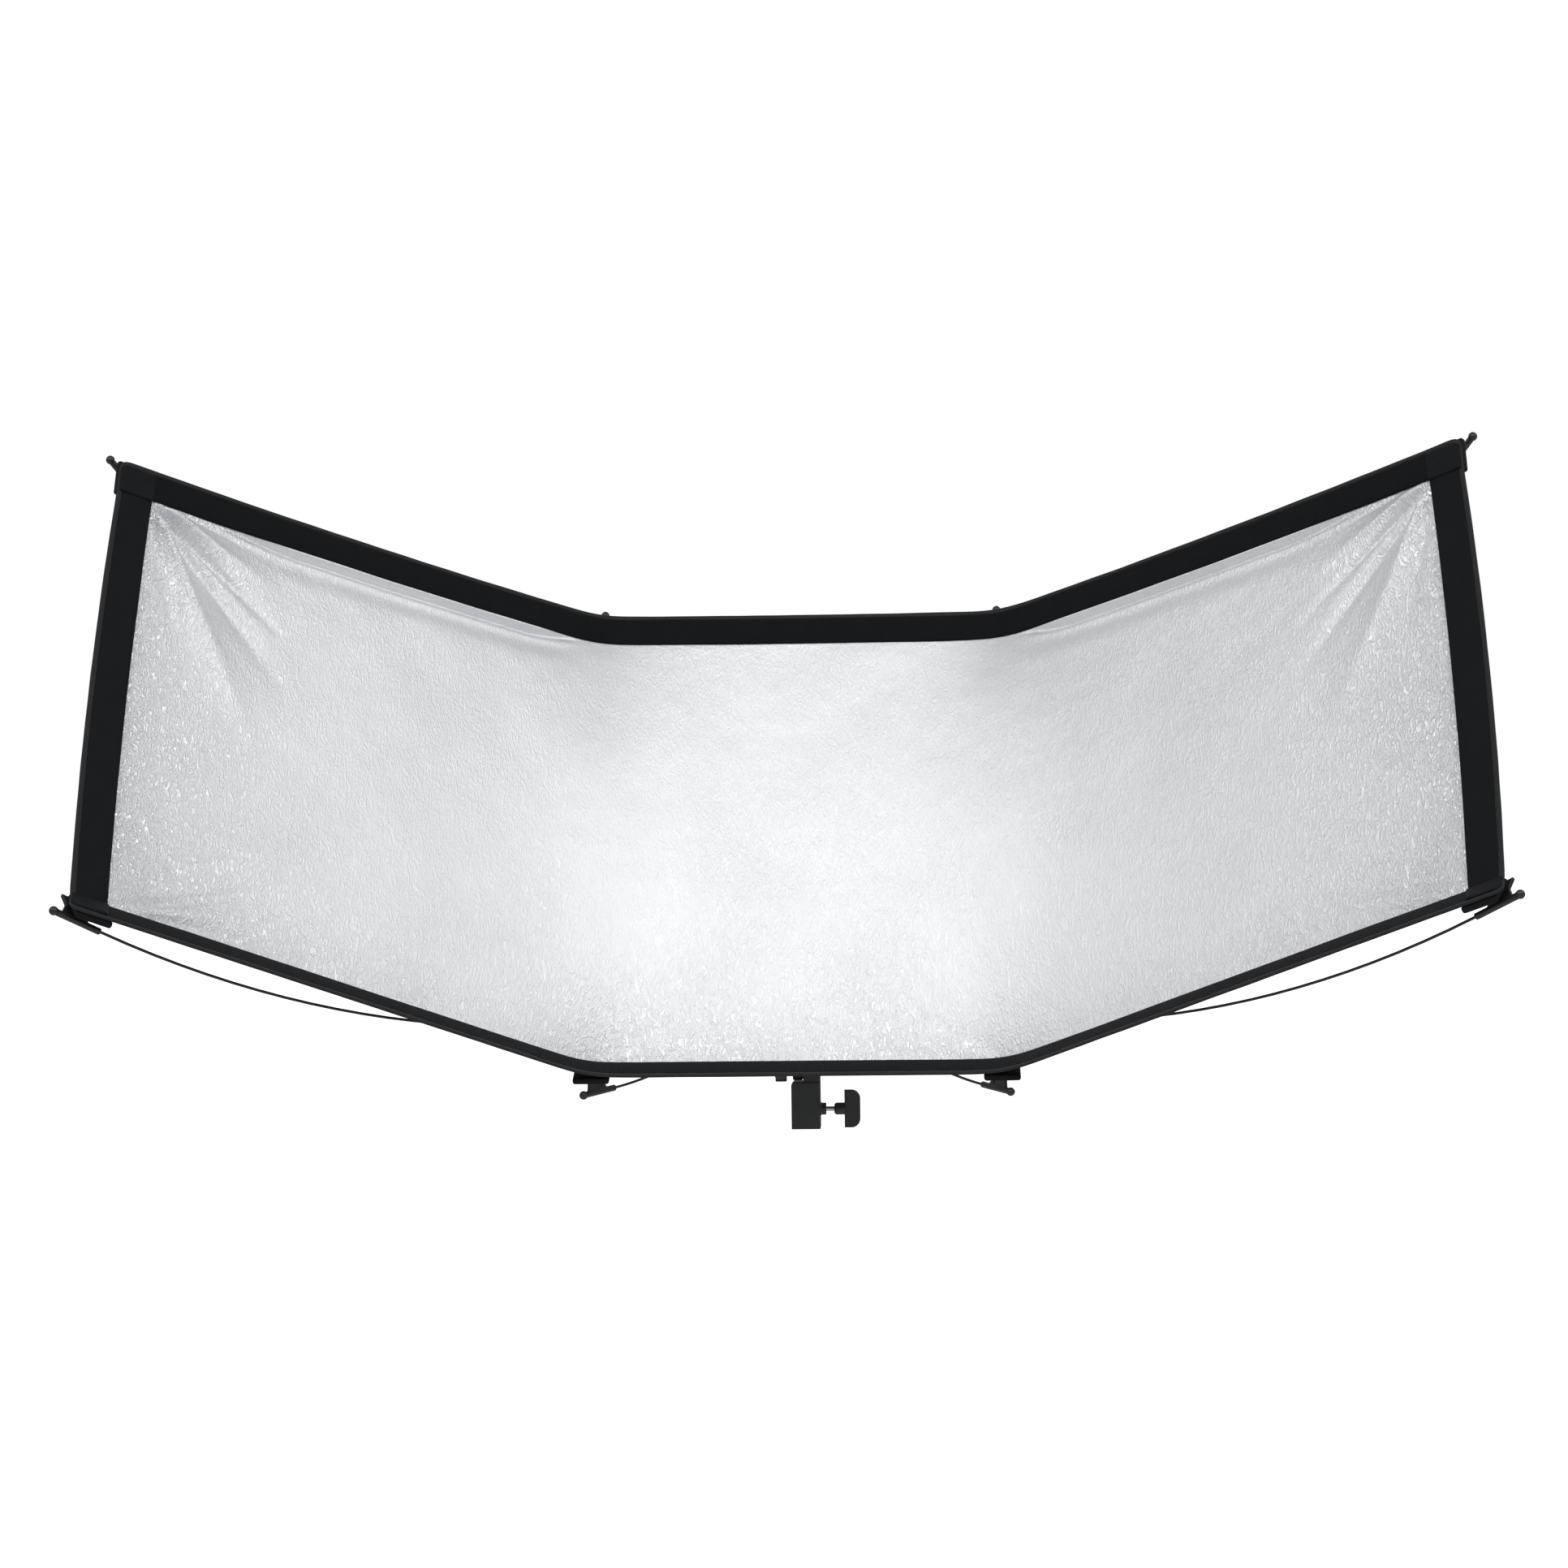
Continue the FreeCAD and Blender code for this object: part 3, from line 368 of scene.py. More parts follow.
def relaxed_film():
    film = np.array([[film_start(i / COLUMNS, j / ROWS) for j in range(ROWS + 1)]
                     for i in range(COLUMNS + 1)])
    column = LENGTH / COLUMNS
    row = (FOLD_TOP - FOLD_BOTTOM).length / ROWS
    side = 1 / column ** 2
    upright = UPRIGHT_PULL / row ** 2
    total = 2 * side + 2 * upright
    for _ in range(RELAX_STEPS):
        across = film[:-2, 1:-1] + film[2:, 1:-1]
        upwards = film[1:-1, :-2] + film[1:-1, 2:]
        film[1:-1, 1:-1] = (side * across + upright * upwards) / total
    return film


FILM = relaxed_film()
ALONG = np.gradient(FILM, axis=0)
UPWARD = np.gradient(FILM, axis=1)
FACE = np.cross(ALONG, UPWARD)
FACE /= np.linalg.norm(FACE, axis=2, keepdims=True)
CLOTH_WIDTH = float(np.linalg.norm(ALONG, axis=2).sum(axis=0).max())
CLOTH_HEIGHT = float(np.linalg.norm(UPWARD, axis=2).sum(axis=1).max())


def smooth_look_up(table, u, v):
    """A value of a table of grid points, smoothly between its points."""
    result = 0.0
    columns, rows = table.shape[0] - 1, table.shape[1] - 1
    x, y = min(max(u, 0.0), 1.0) * columns, min(max(v, 0.0), 1.0) * rows
    i, j = min(int(x), columns - 1), min(int(y), rows - 1)
    for di, wi in zip(range(-1, 3), cubic_weights(x - i)):
        for dj, wj in zip(range(-1, 3), cubic_weights(y - j)):
            column, row = min(max(i + di, 0), columns), min(max(j + dj, 0), rows)
            result = result + table[column, row] * (wi * wj)
    return result


def cubic_weights(t):
    """Weights of four neighbours for a curve that passes through the middle two."""
    return (-0.5 * t + t * t - 0.5 * t ** 3, 1 - 2.5 * t * t + 1.5 * t ** 3,
            0.5 * t + 2 * t * t - 1.5 * t ** 3, -0.5 * t * t + 0.5 * t ** 3)


# %% [markdown]
# ## Tension creases
#
# A film alone looks like moulded plastic. Real cloth that hangs from its corners shows creases: a
# fan of sharp valleys and broad ridges runs from each outer corner along the pull, and under the
# wings' top band the cloth bulges and then dips, because the elastic gathers it. Each crease is
# given in words a maker would use (the angle below the band, its length, depth and width) and the
# cloth is pushed back or forward by their sum.

# %% The creases
# Creases of an outer top corner: degrees below the band, length, depth and width in metres.
# A negative depth is a ridge.
TOP_CREASES = (
    {"angle": 10, "length": 0.16, "depth": 0.0022, "width": 0.0034},
    {"angle": 23, "length": 0.20, "depth": -0.0060, "width": 0.0150},
    {"angle": 36, "length": 0.24, "depth": 0.0060, "width": 0.0055},
    {"angle": 47, "length": 0.30, "depth": 0.0058, "width": 0.0120},
    {"angle": 61, "length": 0.34, "depth": -0.0066, "width": 0.0190},
    {"angle": 74, "length": 0.24, "depth": 0.0028, "width": 0.0090},
)
BOTTOM_CREASES = (
    {"angle": 25, "length": 0.26, "depth": 0.0036, "width": 0.0070},
    {"angle": 15, "length": 0.22, "depth": -0.0034, "width": 0.0080},
    {"angle": 6, "length": 0.22, "depth": 0.0022, "width": 0.0060},
    {"angle": 48, "length": 0.22, "depth": -0.0020, "width": 0.0220},
)
FOLD_CREASES = (
    {"angle": 28, "length": 0.22, "depth": 0.0009, "width": 0.0100},
    {"angle": 14, "length": 0.26, "depth": -0.0009, "width": 0.0090},
)
TOP_STRENGTH = (2.0, 1.2)    # how strong the creases are on the left and on the right
BOTTOM_STRENGTH = (1.4, 0.7)
BULGE = 0.0042               # how far the cloth stands forward just under the band
BULGE_PLACE = 0.45           # where, as a share of the way down to the groove
BULGE_WIDTH = 0.0040
GROOVE = 0.0085              # how deep the groove below the bulge is
GROOVE_WIDTH = 0.0042
GROOVE_NEAR = 0.0035         # how far below the band the groove runs at a wing's ends
GROOVE_FAR = 0.0085          # and how much further in the middle
SLOPE = 0.0026               # the shallow trough below the groove
SLOPE_BELOW = 0.016
SLOPE_WIDTH = 0.014
FAN_FADE = 0.16              # how far the small uneven rays reach from a top corner
SWELL = 0.045                # over which a crease grows from its corner
HELD = 0.012                 # cloth this near to its edging lies flatter
HELD_TOP = 0.35              # share of the creases that stays under the top band
WING_LENGTH = LENGTH / 2 - CORNER["top_fold"].x - SIDE_EDGING


def step_up(value, low, high):
    """0 below low, 1 above high and smooth in between."""
    share = min(max((value - low) / (high - low), 0.0), 1.0)
    return share * share * (3 - 2 * share)


def crease_push(creases, inward, away):
    """Push of a fan of creases at a place given from its corner: inward along the band and away
    from the band, in metres."""
    reach = math.hypot(inward, away)
    turn = math.atan2(away, inward)
    push = 0.0
    for crease in creases:
        share = reach / crease["length"]
        if share < 1.0:
            aside = reach * math.sin(turn - math.radians(crease["angle"]))
            width = crease["width"] * (0.3 + 0.9 * share)
            swell = step_up(reach, 0.0, SWELL) * (1 - share) ** 1.3 * 1.5
            push += crease["depth"] * swell * math.exp(-(abs(aside) / width) ** 1.5)
    return push


def gather_push(inward, away, to_fold):
    """The bulge and the dip under a wing's top band."""
    reach = step_up(inward, 0.05, 0.20) * step_up(to_fold, 0.0, 0.10)
    dip = GROOVE_NEAR + GROOVE_FAR * reach
    bulge = -BULGE * reach * math.exp(-((away - BULGE_PLACE * dip) / BULGE_WIDTH) ** 2)
    groove = GROOVE * reach * math.exp(-((away - dip) / GROOVE_WIDTH) ** 2)
    slope = SLOPE * reach * math.exp(-((away - dip - SLOPE_BELOW) / SLOPE_WIDTH) ** 2)
    return bulge + groove + slope


def cloth_push(u, v):
    """How far the cloth is pushed back at a place of the sheet. Its left and right corners have
    the same creases, but on the left they are deeper, as on any cloth that is hung by hand."""
    right = u > 0.5
    inward = (1 - u if right else u) * CLOTH_WIDTH
    below, above = (1 - v) * CLOTH_HEIGHT, v * CLOTH_HEIGHT
    push = TOP_STRENGTH[right] * crease_push(TOP_CREASES, inward, below)
    push += BOTTOM_STRENGTH[right] * crease_push(BOTTOM_CREASES, inward, above)
    to_fold = WING_LENGTH - inward
    if to_fold > 0:
        push += gather_push(inward, below, to_fold)
    push += crease_push(FOLD_CREASES, max(-to_fold, 0.0), above) * step_up(-to_fold, 0.0, 0.03)
    place = Vector((u * CLOTH_WIDTH, v * CLOTH_HEIGHT, 0.0))
    fan = math.atan2(below, inward)
    near = math.exp(-math.hypot(inward, below) / FAN_FADE)
    push += 0.0010 * near * noise.noise(Vector((fan * 11.0, 3.0, 7.0 if right else 0.0)))
    push += 0.0005 * noise.noise(place * 14.0) + 0.00025 * noise.noise(place * 45.0)
    hold = step_up(min(inward, below, above), 0.0, HELD)
    return push * max(hold, HELD_TOP if below < HELD else 0.0)


# %% [markdown]
# The sheet's own grid is finer near its ends and its top, where the creases are. A mask of how
# slack the cloth is goes along as an attribute: the material crinkles more where it is slack.

# %% Cut the silver cloth
CLOTH_COLUMNS = 380
CLOTH_ROWS = 126
CLOTH_THICKNESS = 0.0008
FINER = 1.2                  # how strongly the steps bunch near the ends and the top


def finer_ends(share):
    """Share along the sheet, with the steps smaller near both ends."""
    return share - 0.085 * math.sin(2 * math.pi * share) * FINER


def finer_top(share):
    """Share up the sheet, with the steps smaller near the top."""
    return share + 0.42 * share * (1 - share) * (0.35 + 0.65 * share) * FINER


def cloth_surface(s, t):
    u, v = finer_ends(s), finer_top(t)
    return smooth_look_up(FILM, u, v) - smooth_look_up(FACE, u, v) * cloth_push(u, v)


def slackness(u, v):
    """How slack the cloth is: most beside the side bands and at the outer corners."""
    inward = min(u, 1 - u) * CLOTH_WIDTH
    above = v * CLOTH_HEIGHT
    side = math.exp(-inward / 0.10)
    foot = math.exp(-above / 0.10) * 0.55
    middle = Vector((u * CLOTH_WIDTH, v * CLOTH_HEIGHT, 1.7))
    return min(1.0, 0.20 + 0.85 * side + foot * 0.7 + 0.08 * noise.noise(middle * 9.0))


def paint(piece, name, value):
    """Write value(u, v) of every vertex as a grey attribute. u and v come from the UV map."""
    mesh = piece.data
    layer = mesh.attributes.new(name, "FLOAT", "POINT")
    uv = mesh.uv_layers["flat"].data
    for loop in mesh.loops:
        layer.data[loop.vertex_index].value = value(*uv[loop.index].uv)


silver_cloth = ribbon("silver_cloth", cloth_surface, CLOTH_COLUMNS, CLOTH_ROWS, (1.0, 1.0))
paint(silver_cloth, "slack", lambda s, t: slackness(finer_ends(s), finer_top(t)))
for item in silver_cloth.data.uv_layers["flat"].data:
    item.uv = (finer_ends(item.uv[0]) * CLOTH_WIDTH, finer_top(item.uv[1]) * CLOTH_HEIGHT)
thicken(silver_cloth, CLOTH_THICKNESS, offset=-1.0, back_material=1)
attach(silver_cloth, "reflector")
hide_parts("cloth_centre", "cloth_wing_left", "cloth_wing_right")
print("silver cloth has", len(silver_cloth.data.polygons), "faces before its back")

# %% [markdown]
# ## The elastic bands
#
# A black ribbed elastic is sewn along the top and the bottom, and a smooth one down each side. They
# are ribbons between the inner and the outer line, 1.6 mm thick, with a soft crown across and a
# gentle wave along, because elastic is never pulled quite evenly. Their outer corners are rounded
# off, so that they stay inside the rolled hem.

# %% Bands
BAND_THICKNESS = 0.0016
BAND_SHARE = 33.0 / 40.0     # share of the edging that the band takes, the hem has the rest
HEM_LAP = 0.0015             # band that goes on under the hem
CORNER_RADIUS = 0.011
BAND_LIFT = 0.0009           # middle of the band in front of the cloth
BAND_INSET = 0.003           # how far the band stops short of the hem's outer side
WAVES = 9.0                  # how quickly the bands' unevenness changes, per metre
LINE_STEP = 0.004            # share of a line over which its direction is measured


def facing(inner, outer, place):
    """The way the edging faces at a place along it: square to the line and to its width."""
    along = at(inner, place + LINE_STEP) - at(inner, place - LINE_STEP)
    wide = at(outer, place) - at(inner, place)
    face = np.cross(along, wide)
    return face / np.linalg.norm(face)


def wave(place, seed):
    """A gentle unevenness, the same each time."""
    return noise.noise(Vector((place * LENGTH * WAVES, seed, 0.0)))


def edging_point(lines, sign, place, share, lift):
    """A point of the top or the bottom edging: share 0 at its inner line and 1 at its outer one."""
    inner, outer = lines
    point = at(inner, place) * (1 - share) + at(outer, place) * share
    return point + facing(inner, outer, place) * (sign * lift)


def corner_cut(place):
    """How much of its outer side the edging loses to the rounded corner, in metres."""
    from_end = min(place, 1 - place) * LENGTH
    short = max(CORNER_RADIUS - from_end, 0.0)
    return CORNER_RADIUS - math.sqrt(CORNER_RADIUS ** 2 - short ** 2)


def add_edge_band(name, lines, sign, seed):
    """Ribbed elastic along the top (sign 1) or the bottom (sign -1)."""
    end = BAND_INSET / LENGTH
    width = float(np.linalg.norm(lines[1][0] - lines[0][0]))
    reach = BAND_SHARE + HEM_LAP / width

    def surface(u, v):
        place = end + u * (1 - 2 * end)
        flip = v if sign > 0 else 1 - v
        share = flip * (reach - corner_cut(place) / width) + 0.02 * wave(place, seed) * (1 - flip)
        crown = 0.0005 * (1 - (2 * flip - 1) ** 2) + 0.0004 * wave(place, seed + 5)
        return edging_point(lines, sign, place, share, BAND_LIFT + crown)

    band = ribbon(name, surface, 900, 10, (LENGTH, BAND_SHARE * width))
    thicken(band, BAND_THICKNESS)
    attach(band, "reflector")
    return band


band_top = add_edge_band("band_top", TOP_LINES, 1, 1.0)
band_bottom = add_edge_band("band_bottom", BOTTOM_LINES, -1, 4.0)
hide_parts("band_centre_top", "band_wing_top_left", "band_wing_top_right")
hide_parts("band_centre_bottom", "band_wing_bottom_left", "band_wing_bottom_right")
print("bands", band_top.name, band_bottom.name)

# %% Side bands
SIDE_BAND = 0.0345
SIDE_BAND_LIFT = BAND_LIFT - 0.0003
CLOTH_LAP = 0.0015           # side band that goes on over the cloth
SIDE_BAND_FOOT = -0.002      # where a side band starts, as a share of the side
SIDE_BAND_SPAN = 1.047       # and how much of the side it covers


def side_place(hand, inwards):
    """Place along the edging at a distance in from an outer edge. hand is 1 right and -1 left."""
    return inwards / LENGTH if hand < 0 else 1 - inwards / LENGTH


def side_back(hand):
    return np.array(WING_BACK if hand > 0 else WING_LEFT_BACK)


def side_point(hand, inwards, share, lift):
    """A point beside an outer edge: inwards from it along the cloth, share 0 at the bottom inner
    line and 1 at the top inner line, lift towards the silver side."""
    place = side_place(hand, inwards)
    low, high = at(BOTTOM_INNER, place), at(TOP_INNER, place)
    return low + (high - low) * share + bow_push(place, share) - side_back(hand) * lift


def add_side_band(name, hand, seed):
    inner = SIDE_EDGING + CLOTH_LAP
    outer = SIDE_EDGING - SIDE_BAND - HEM_LAP

    def surface(u, v):
        flip = u if hand > 0 else 1 - u
        uneven = 0.0006 * noise.noise(Vector((v * 5.0, seed, 0.0))) * (1 - flip)
        inwards = inner - (inner - outer) * flip + uneven
        crown = 0.0006 * (1 - (2 * flip - 1) ** 2)
        share = SIDE_BAND_FOOT + v * SIDE_BAND_SPAN
        return side_point(hand, inwards, share, SIDE_BAND_LIFT + crown)

    band = ribbon(name, surface, 10, 260, (SIDE_BAND, CLOTH_HEIGHT))
    thicken(band, BAND_THICKNESS)
    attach(band, "reflector")
    return band


band_side_l = add_side_band("band_side_l", -1, 11.0)
band_side_r = add_side_band("band_side_r", 1, 12.0)
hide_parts("band_side_left")
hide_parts("band_side_right")
print("side bands", band_side_l.name, band_side_r.name)

# %% [markdown]
# ## The rolled hem
#
# All the way round, the edge is closed by a rolled binding of black cloth. It is one long tube of
# flat oval section that follows the outer line and turns each corner in a small radius. The tube is
# a ribbon whose two long edges meet and are merged; a slow ripple in its width gives the scallops
# that a sewn roll has.

# %% Hem
HEM_WIDTH = 0.0072
HEM_HEIGHT = 0.0042
HEM_RING = 12                # faces round the roll
HEM_GIRTH = 0.018            # length once round the roll, for the weave
HEM_STEP = 0.004
HEM_ROUNDING = 5             # smoothing passes at the corners
HEM_TOP = 1.035              # where the side hem meets the top one, as a share of the side
SCALLOPS = 18                # how quickly the roll's width ripples on its way round
SCALLOP_DEPTH = 0.09         # share of the width that it ripples by


def evened(points, faces):
    """The closed route with its points set at even steps."""
    lengths = np.linalg.norm(np.roll(points, -1, axis=0) - points, axis=1)
    places = np.concatenate([[0.0], np.cumsum(lengths)])
    wanted = np.arange(0.0, places[-1] - HEM_STEP / 2, HEM_STEP)
    tables = []
    for table in (points, faces):
        round_trip = np.vstack([table, table[:1]])
        columns = [np.interp(wanted, places, round_trip[:, axis]) for axis in range(3)]
        tables.append(np.stack(columns, axis=1))
    return tables


def smoothed(table):
    return (np.roll(table, 1, axis=0) + 2 * table + np.roll(table, -1, axis=0)) / 4


def hem_middle_line():
    """Middle of the hem, all the way round, and the way the silver side faces at each point."""
    half = HEM_WIDTH / 2
    centre = 1 - half / float(np.linalg.norm(TOP_OUTER[0] - TOP_INNER[0]))
    end = half / LENGTH
    count, rise = int(LENGTH / HEM_STEP), int(CLOTH_HEIGHT / HEM_STEP)
    places = [end + (1 - 2 * end) * i / count for i in range(count + 1)]
    shares = [HEM_TOP * i / rise for i in range(rise + 1)]

    def edging_run(lines, sign, places):
        return [(edging_point(lines, sign, place, centre, 0.0), facing(*lines, place) * sign)
                for place in places]

    def side_run(hand, shares):
        return [(side_point(hand, half, share, 0.0), -side_back(hand)) for share in shares]

    route = (edging_run(TOP_LINES, 1, places) + side_run(1, shares[::-1])
             + edging_run(BOTTOM_LINES, -1, places[::-1]) + side_run(-1, shares))
    points, faces = evened(*(np.array(table) for table in zip(*route)))
    for _ in range(HEM_ROUNDING):
        points, faces = smoothed(points), smoothed(faces)
    return points, faces / np.linalg.norm(faces, axis=1, keepdims=True)


HEM_LINE, HEM_FACES = hem_middle_line()
HEM_LENGTH = float(np.linalg.norm(np.roll(HEM_LINE, -1, axis=0) - HEM_LINE, axis=1).sum())


def closed(table, share):
    """A value of a closed line's table at a share of the way round."""
    place = (share % 1.0) * len(table)
    low = int(place) % len(table)
    return table[low] + (table[(low + 1) % len(table)] - table[low]) * (place - int(place))


def hem_surface(u, v):
    middle = closed(HEM_LINE, u)
    along = closed(HEM_LINE, u + 0.0006) - closed(HEM_LINE, u - 0.0006)
    along /= np.linalg.norm(along)
    face = closed(HEM_FACES, u)
    out = np.cross(along, face)
    turn = 2 * math.pi * v
    way_round = 2 * math.pi * u
    spot = Vector((math.cos(way_round) * SCALLOPS, math.sin(way_round) * SCALLOPS, 0))
    ripple = 1 + SCALLOP_DEPTH * noise.noise(spot)
    groove = 1 - 0.16 * math.exp(-((math.cos(turn) + 0.25) / 0.16) ** 2) * max(math.sin(turn), 0.0)
    width = math.cos(turn) * HEM_WIDTH / 2 * ripple
    height = math.sin(turn) * HEM_HEIGHT / 2 * groove * ripple
    return middle - out * width + face * height


def merged(piece, distance):
    """Merge the vertices where a ribbon meets itself, and turn its faces outwards."""
    bm = bmesh.new()
    bm.from_mesh(piece.data)
    bmesh.ops.remove_doubles(bm, verts=bm.verts, dist=distance)
    bmesh.ops.recalc_face_normals(bm, faces=bm.faces)
    bm.to_mesh(piece.data)
    bm.free()


hem_roll = ribbon("hem_roll", hem_surface, len(HEM_LINE), HEM_RING, (HEM_LENGTH, HEM_GIRTH))
merged(hem_roll, 0.00002)
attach(hem_roll, "reflector")
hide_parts(*[name for name in frame["nodes"] if name.startswith("hem_")])
print("hem", round(HEM_LENGTH, 3), "m round,", len(hem_roll.data.polygons), "faces")

# %% [markdown]
# ## Pockets and corner patches
#
# Behind each tip sits a pocket of the same black cloth, and each outer corner is closed in front by
# a folded patch. A pocket starts as a cube; its edges are bevelled, it is divided and then its
# middle is puffed out, so it reads as sewn cloth with something in it.

# %% Pockets behind the tips
POCKET_EDGE = 0.0028
PUFF = 0.0012


def padded_block(name, node):
    """A soft pocket in the space of a CAD pocket, turned as that one is."""
    points = np.array([vertex.co for vertex in frame["nodes"][node].data.vertices])
    points = np.unique(points.round(6), axis=0)
    middle = points.mean(axis=0)
    first = points[0]
    near = points[np.argsort(np.linalg.norm(points - first, axis=1))]
    sides = []
    for point in near[1:]:
        way = (point - first) / np.linalg.norm(point - first)
        if all(abs(way @ side[0]) < 0.05 for side in sides) and len(sides) < 3:
            sides.append((way, np.linalg.norm(point - first)))
    bm = bmesh.new()
    bmesh.ops.create_cube(bm, size=1.0)
    for vertex in bm.verts:
        vertex.co = middle + sum(way * (size * share)
                                 for (way, size), share in zip(sides, vertex.co))
    bmesh.ops.recalc_face_normals(bm, faces=bm.faces)
    bmesh.ops.bevel(bm, geom=bm.edges[:], offset=POCKET_EDGE, affect="EDGES", segments=3,
                    profile=0.5, material=-1)
    bmesh.ops.subdivide_edges(bm, edges=[e for e in bm.edges if e.calc_length() > 0.02], cuts=5,
                              use_grid_fill=True)
    thin = np.array(sides[0][0])
    for vertex in bm.verts:
        offset = np.array(vertex.co) - middle
        wide = max(abs(offset @ side[0]) / side[1] * 2 for side in sides[1:])
        swell = PUFF * max(0.0, 1 - wide ** 2) * noise.noise(vertex.co * 60.0) * 2
        vertex.co = Vector(middle + offset + thin * swell)
    for face in bm.faces:
        face.smooth = True
    pocket = finished(name, bm)
    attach(pocket, "reflector")
    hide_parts(node)
    return pocket


pockets = [padded_block("soft_" + name, name)
           for name in sorted(frame["nodes"]) if name.startswith("pocket_")]
print(len(pockets), "pockets")

# %% Patches in front of the outer corners
PATCH_START = 0.0015         # from the outer edge to the patch
PATCH_IN = 0.043
PATCH_BELOW = 0.02           # how far it reaches past the band's two edges, as shares of the edging
PATCH_ABOVE = 0.03
PATCH_LIFT = 0.0033
PATCH_THICKNESS = 0.0009


def add_corner_patch(name, hand, lines, sign):
    """Folded cloth over an outer corner, from the side band to just past its inner edge."""
    def surface(u, v):
        inwards = PATCH_START + u * PATCH_IN
        place = side_place(hand, inwards)
        width = float(np.linalg.norm(at(lines[1], place) - at(lines[0], place)))
        share = v * (BAND_SHARE + PATCH_ABOVE - corner_cut(place) / width) - PATCH_BELOW
        fold = 0.0006 * math.exp(-((u - v) / 0.10) ** 2)
        rim = 0.0009 * (1 - step_up(min(u, 1 - u, v, 1 - v), 0.0, 0.08))
        return edging_point(lines, sign, place, share, PATCH_LIFT + fold - rim)

    patch = ribbon(name, surface, 30, 30, (PATCH_IN, 0.036))
    thicken(patch, PATCH_THICKNESS)
    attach(patch, "reflector")
    return patch


patches = [add_corner_patch("patch_%s_%s" % (level, side), hand, lines, sign)
           for side, hand in (("l", -1), ("r", 1))
           for level, lines, sign in (("top", TOP_LINES, 1), ("bottom", BOTTOM_LINES, -1))]
print(len(patches), "corner patches")

# %% [markdown]
# ## Shader groups
#
# Several finishes share an effect, so each effect is a node group that is built once: `cloth ribs`
# (ribs or weave in two directions), `crinkled foil`, `moulded grain`,
# `eased edges` (rounds a sharp CAD edge in the shading and marks where it would be worn) and
# `lint and dust`. A group puts out only heights, masks and normals. The shader itself stays in the
# material, so that each material still shows plainly what it is made of.

# %% Group helpers
def new_group(name, inputs, outputs):
    """A shader group with named float inputs (name: default) and outputs (name: socket type)."""
    group = bpy.data.node_groups.new(name, "ShaderNodeTree")
    for label, default in inputs.items():
        socket = group.interface.new_socket(
            name=label, in_out="INPUT", socket_type="NodeSocketFloat")
        socket.default_value = default
    for label, kind in outputs.items():
        group.interface.new_socket(name=label, in_out="OUTPUT", socket_type=kind)
    return group, group.nodes.new("NodeGroupInput"), group.nodes.new("NodeGroupOutput")


def put(value, socket, tree):
    """Feed a socket from another socket, or set it to a plain value."""
    if isinstance(value, bpy.types.NodeSocket):
        tree.links.new(value, socket)
    else:
        socket.default_value = value


def feed(tree, node, **values):
    """Feed a node's inputs, named with _ for a space."""
    for label, value in values.items():
        put(value, node.inputs[label.replace("_", " ")], tree)


def calc(tree, operation, *values, clamp=False):
    """A maths node. Its values are sockets or numbers."""
    maths = tree.nodes.new("ShaderNodeMath")
    maths.operation = operation
    maths.use_clamp = clamp
    for socket, value in zip(maths.inputs, values):
        put(value, socket, tree)
    return maths.outputs[0]


def noise_of(tree, vector, scale, detail=2.0, roughness=0.5):
    texture = tree.nodes.new("ShaderNodeTexNoise")
    put(vector, texture.inputs["Vector"], tree)
    put(scale, texture.inputs["Scale"], tree)
    texture.inputs["Detail"].default_value = detail
    texture.inputs["Roughness"].default_value = roughness
    return texture.outputs["Fac"]


def object_place(tree):
    """Where a point lies on the object, in metres."""
    return tree.nodes.new("ShaderNodeTexCoord").outputs["Object"]


def flat_place(tree):
    """Where a point lies on the flat piece, in metres."""
    uv = tree.nodes.new("ShaderNodeUVMap")
    uv.uv_map = "flat"
    return uv.outputs["UV"]


def stretch(tree, vector, scale):
    """The vector with each of its parts multiplied."""
    mapping = tree.nodes.new("ShaderNodeMapping")
    put(vector, mapping.inputs["Vector"], tree)
    mapping.inputs["Scale"].default_value = scale
    return mapping.outputs["Vector"]


def between(tree, value, low, high, to_low=0.0, to_high=1.0):
    """Map a value from one range to another, clamped."""
    ranged = tree.nodes.new("ShaderNodeMapRange")
    for socket, number in zip(ranged.inputs[:5], (value, low, high, to_low, to_high)):
        put(number, socket, tree)
    return ranged.outputs[0]


# %% Group: cloth ribs
def build_ribs():
    """Ribs across the band and fine threads along it, from the flat UV map in metres."""
    group, entry, exit_ = new_group(
        "cloth ribs",
        {"Pitch": 0.00135, "Thread": 0.0005, "Rib depth": 1.0, "Thread depth": 0.35},
        {"Height": "NodeSocketFloat", "Shade": "NodeSocketFloat"})
    uv = flat_place(group)
    split = group.nodes.new("ShaderNodeSeparateXYZ")
    group.links.new(uv, split.inputs[0])
    uneven = noise_of(group, uv, 220.0)
    heights = []
    for axis, pitch, depth in (("X", "Pitch", "Rib depth"), ("Y", "Thread", "Thread depth")):
        turns = calc(group, "DIVIDE", split.outputs[axis], entry.outputs[pitch])
        shifted = calc(group, "ADD", turns, calc(group, "MULTIPLY", uneven, 0.35))
        ridge = calc(group, "SINE", calc(group, "MULTIPLY", shifted, 2 * math.pi))
        heights.append(calc(group, "MULTIPLY", ridge, entry.outputs[depth]))
    both = calc(group, "ADD", heights[0], heights[1])
    # Shade is painted shade: it is lowest in the rib grooves, where it darkens the cloth's colour.
    feed(group, exit_, Height=between(group, both, -1.4, 1.4),
         Shade=between(group, both, -1.0, 1.0, 0.75, 1.15))
    return group


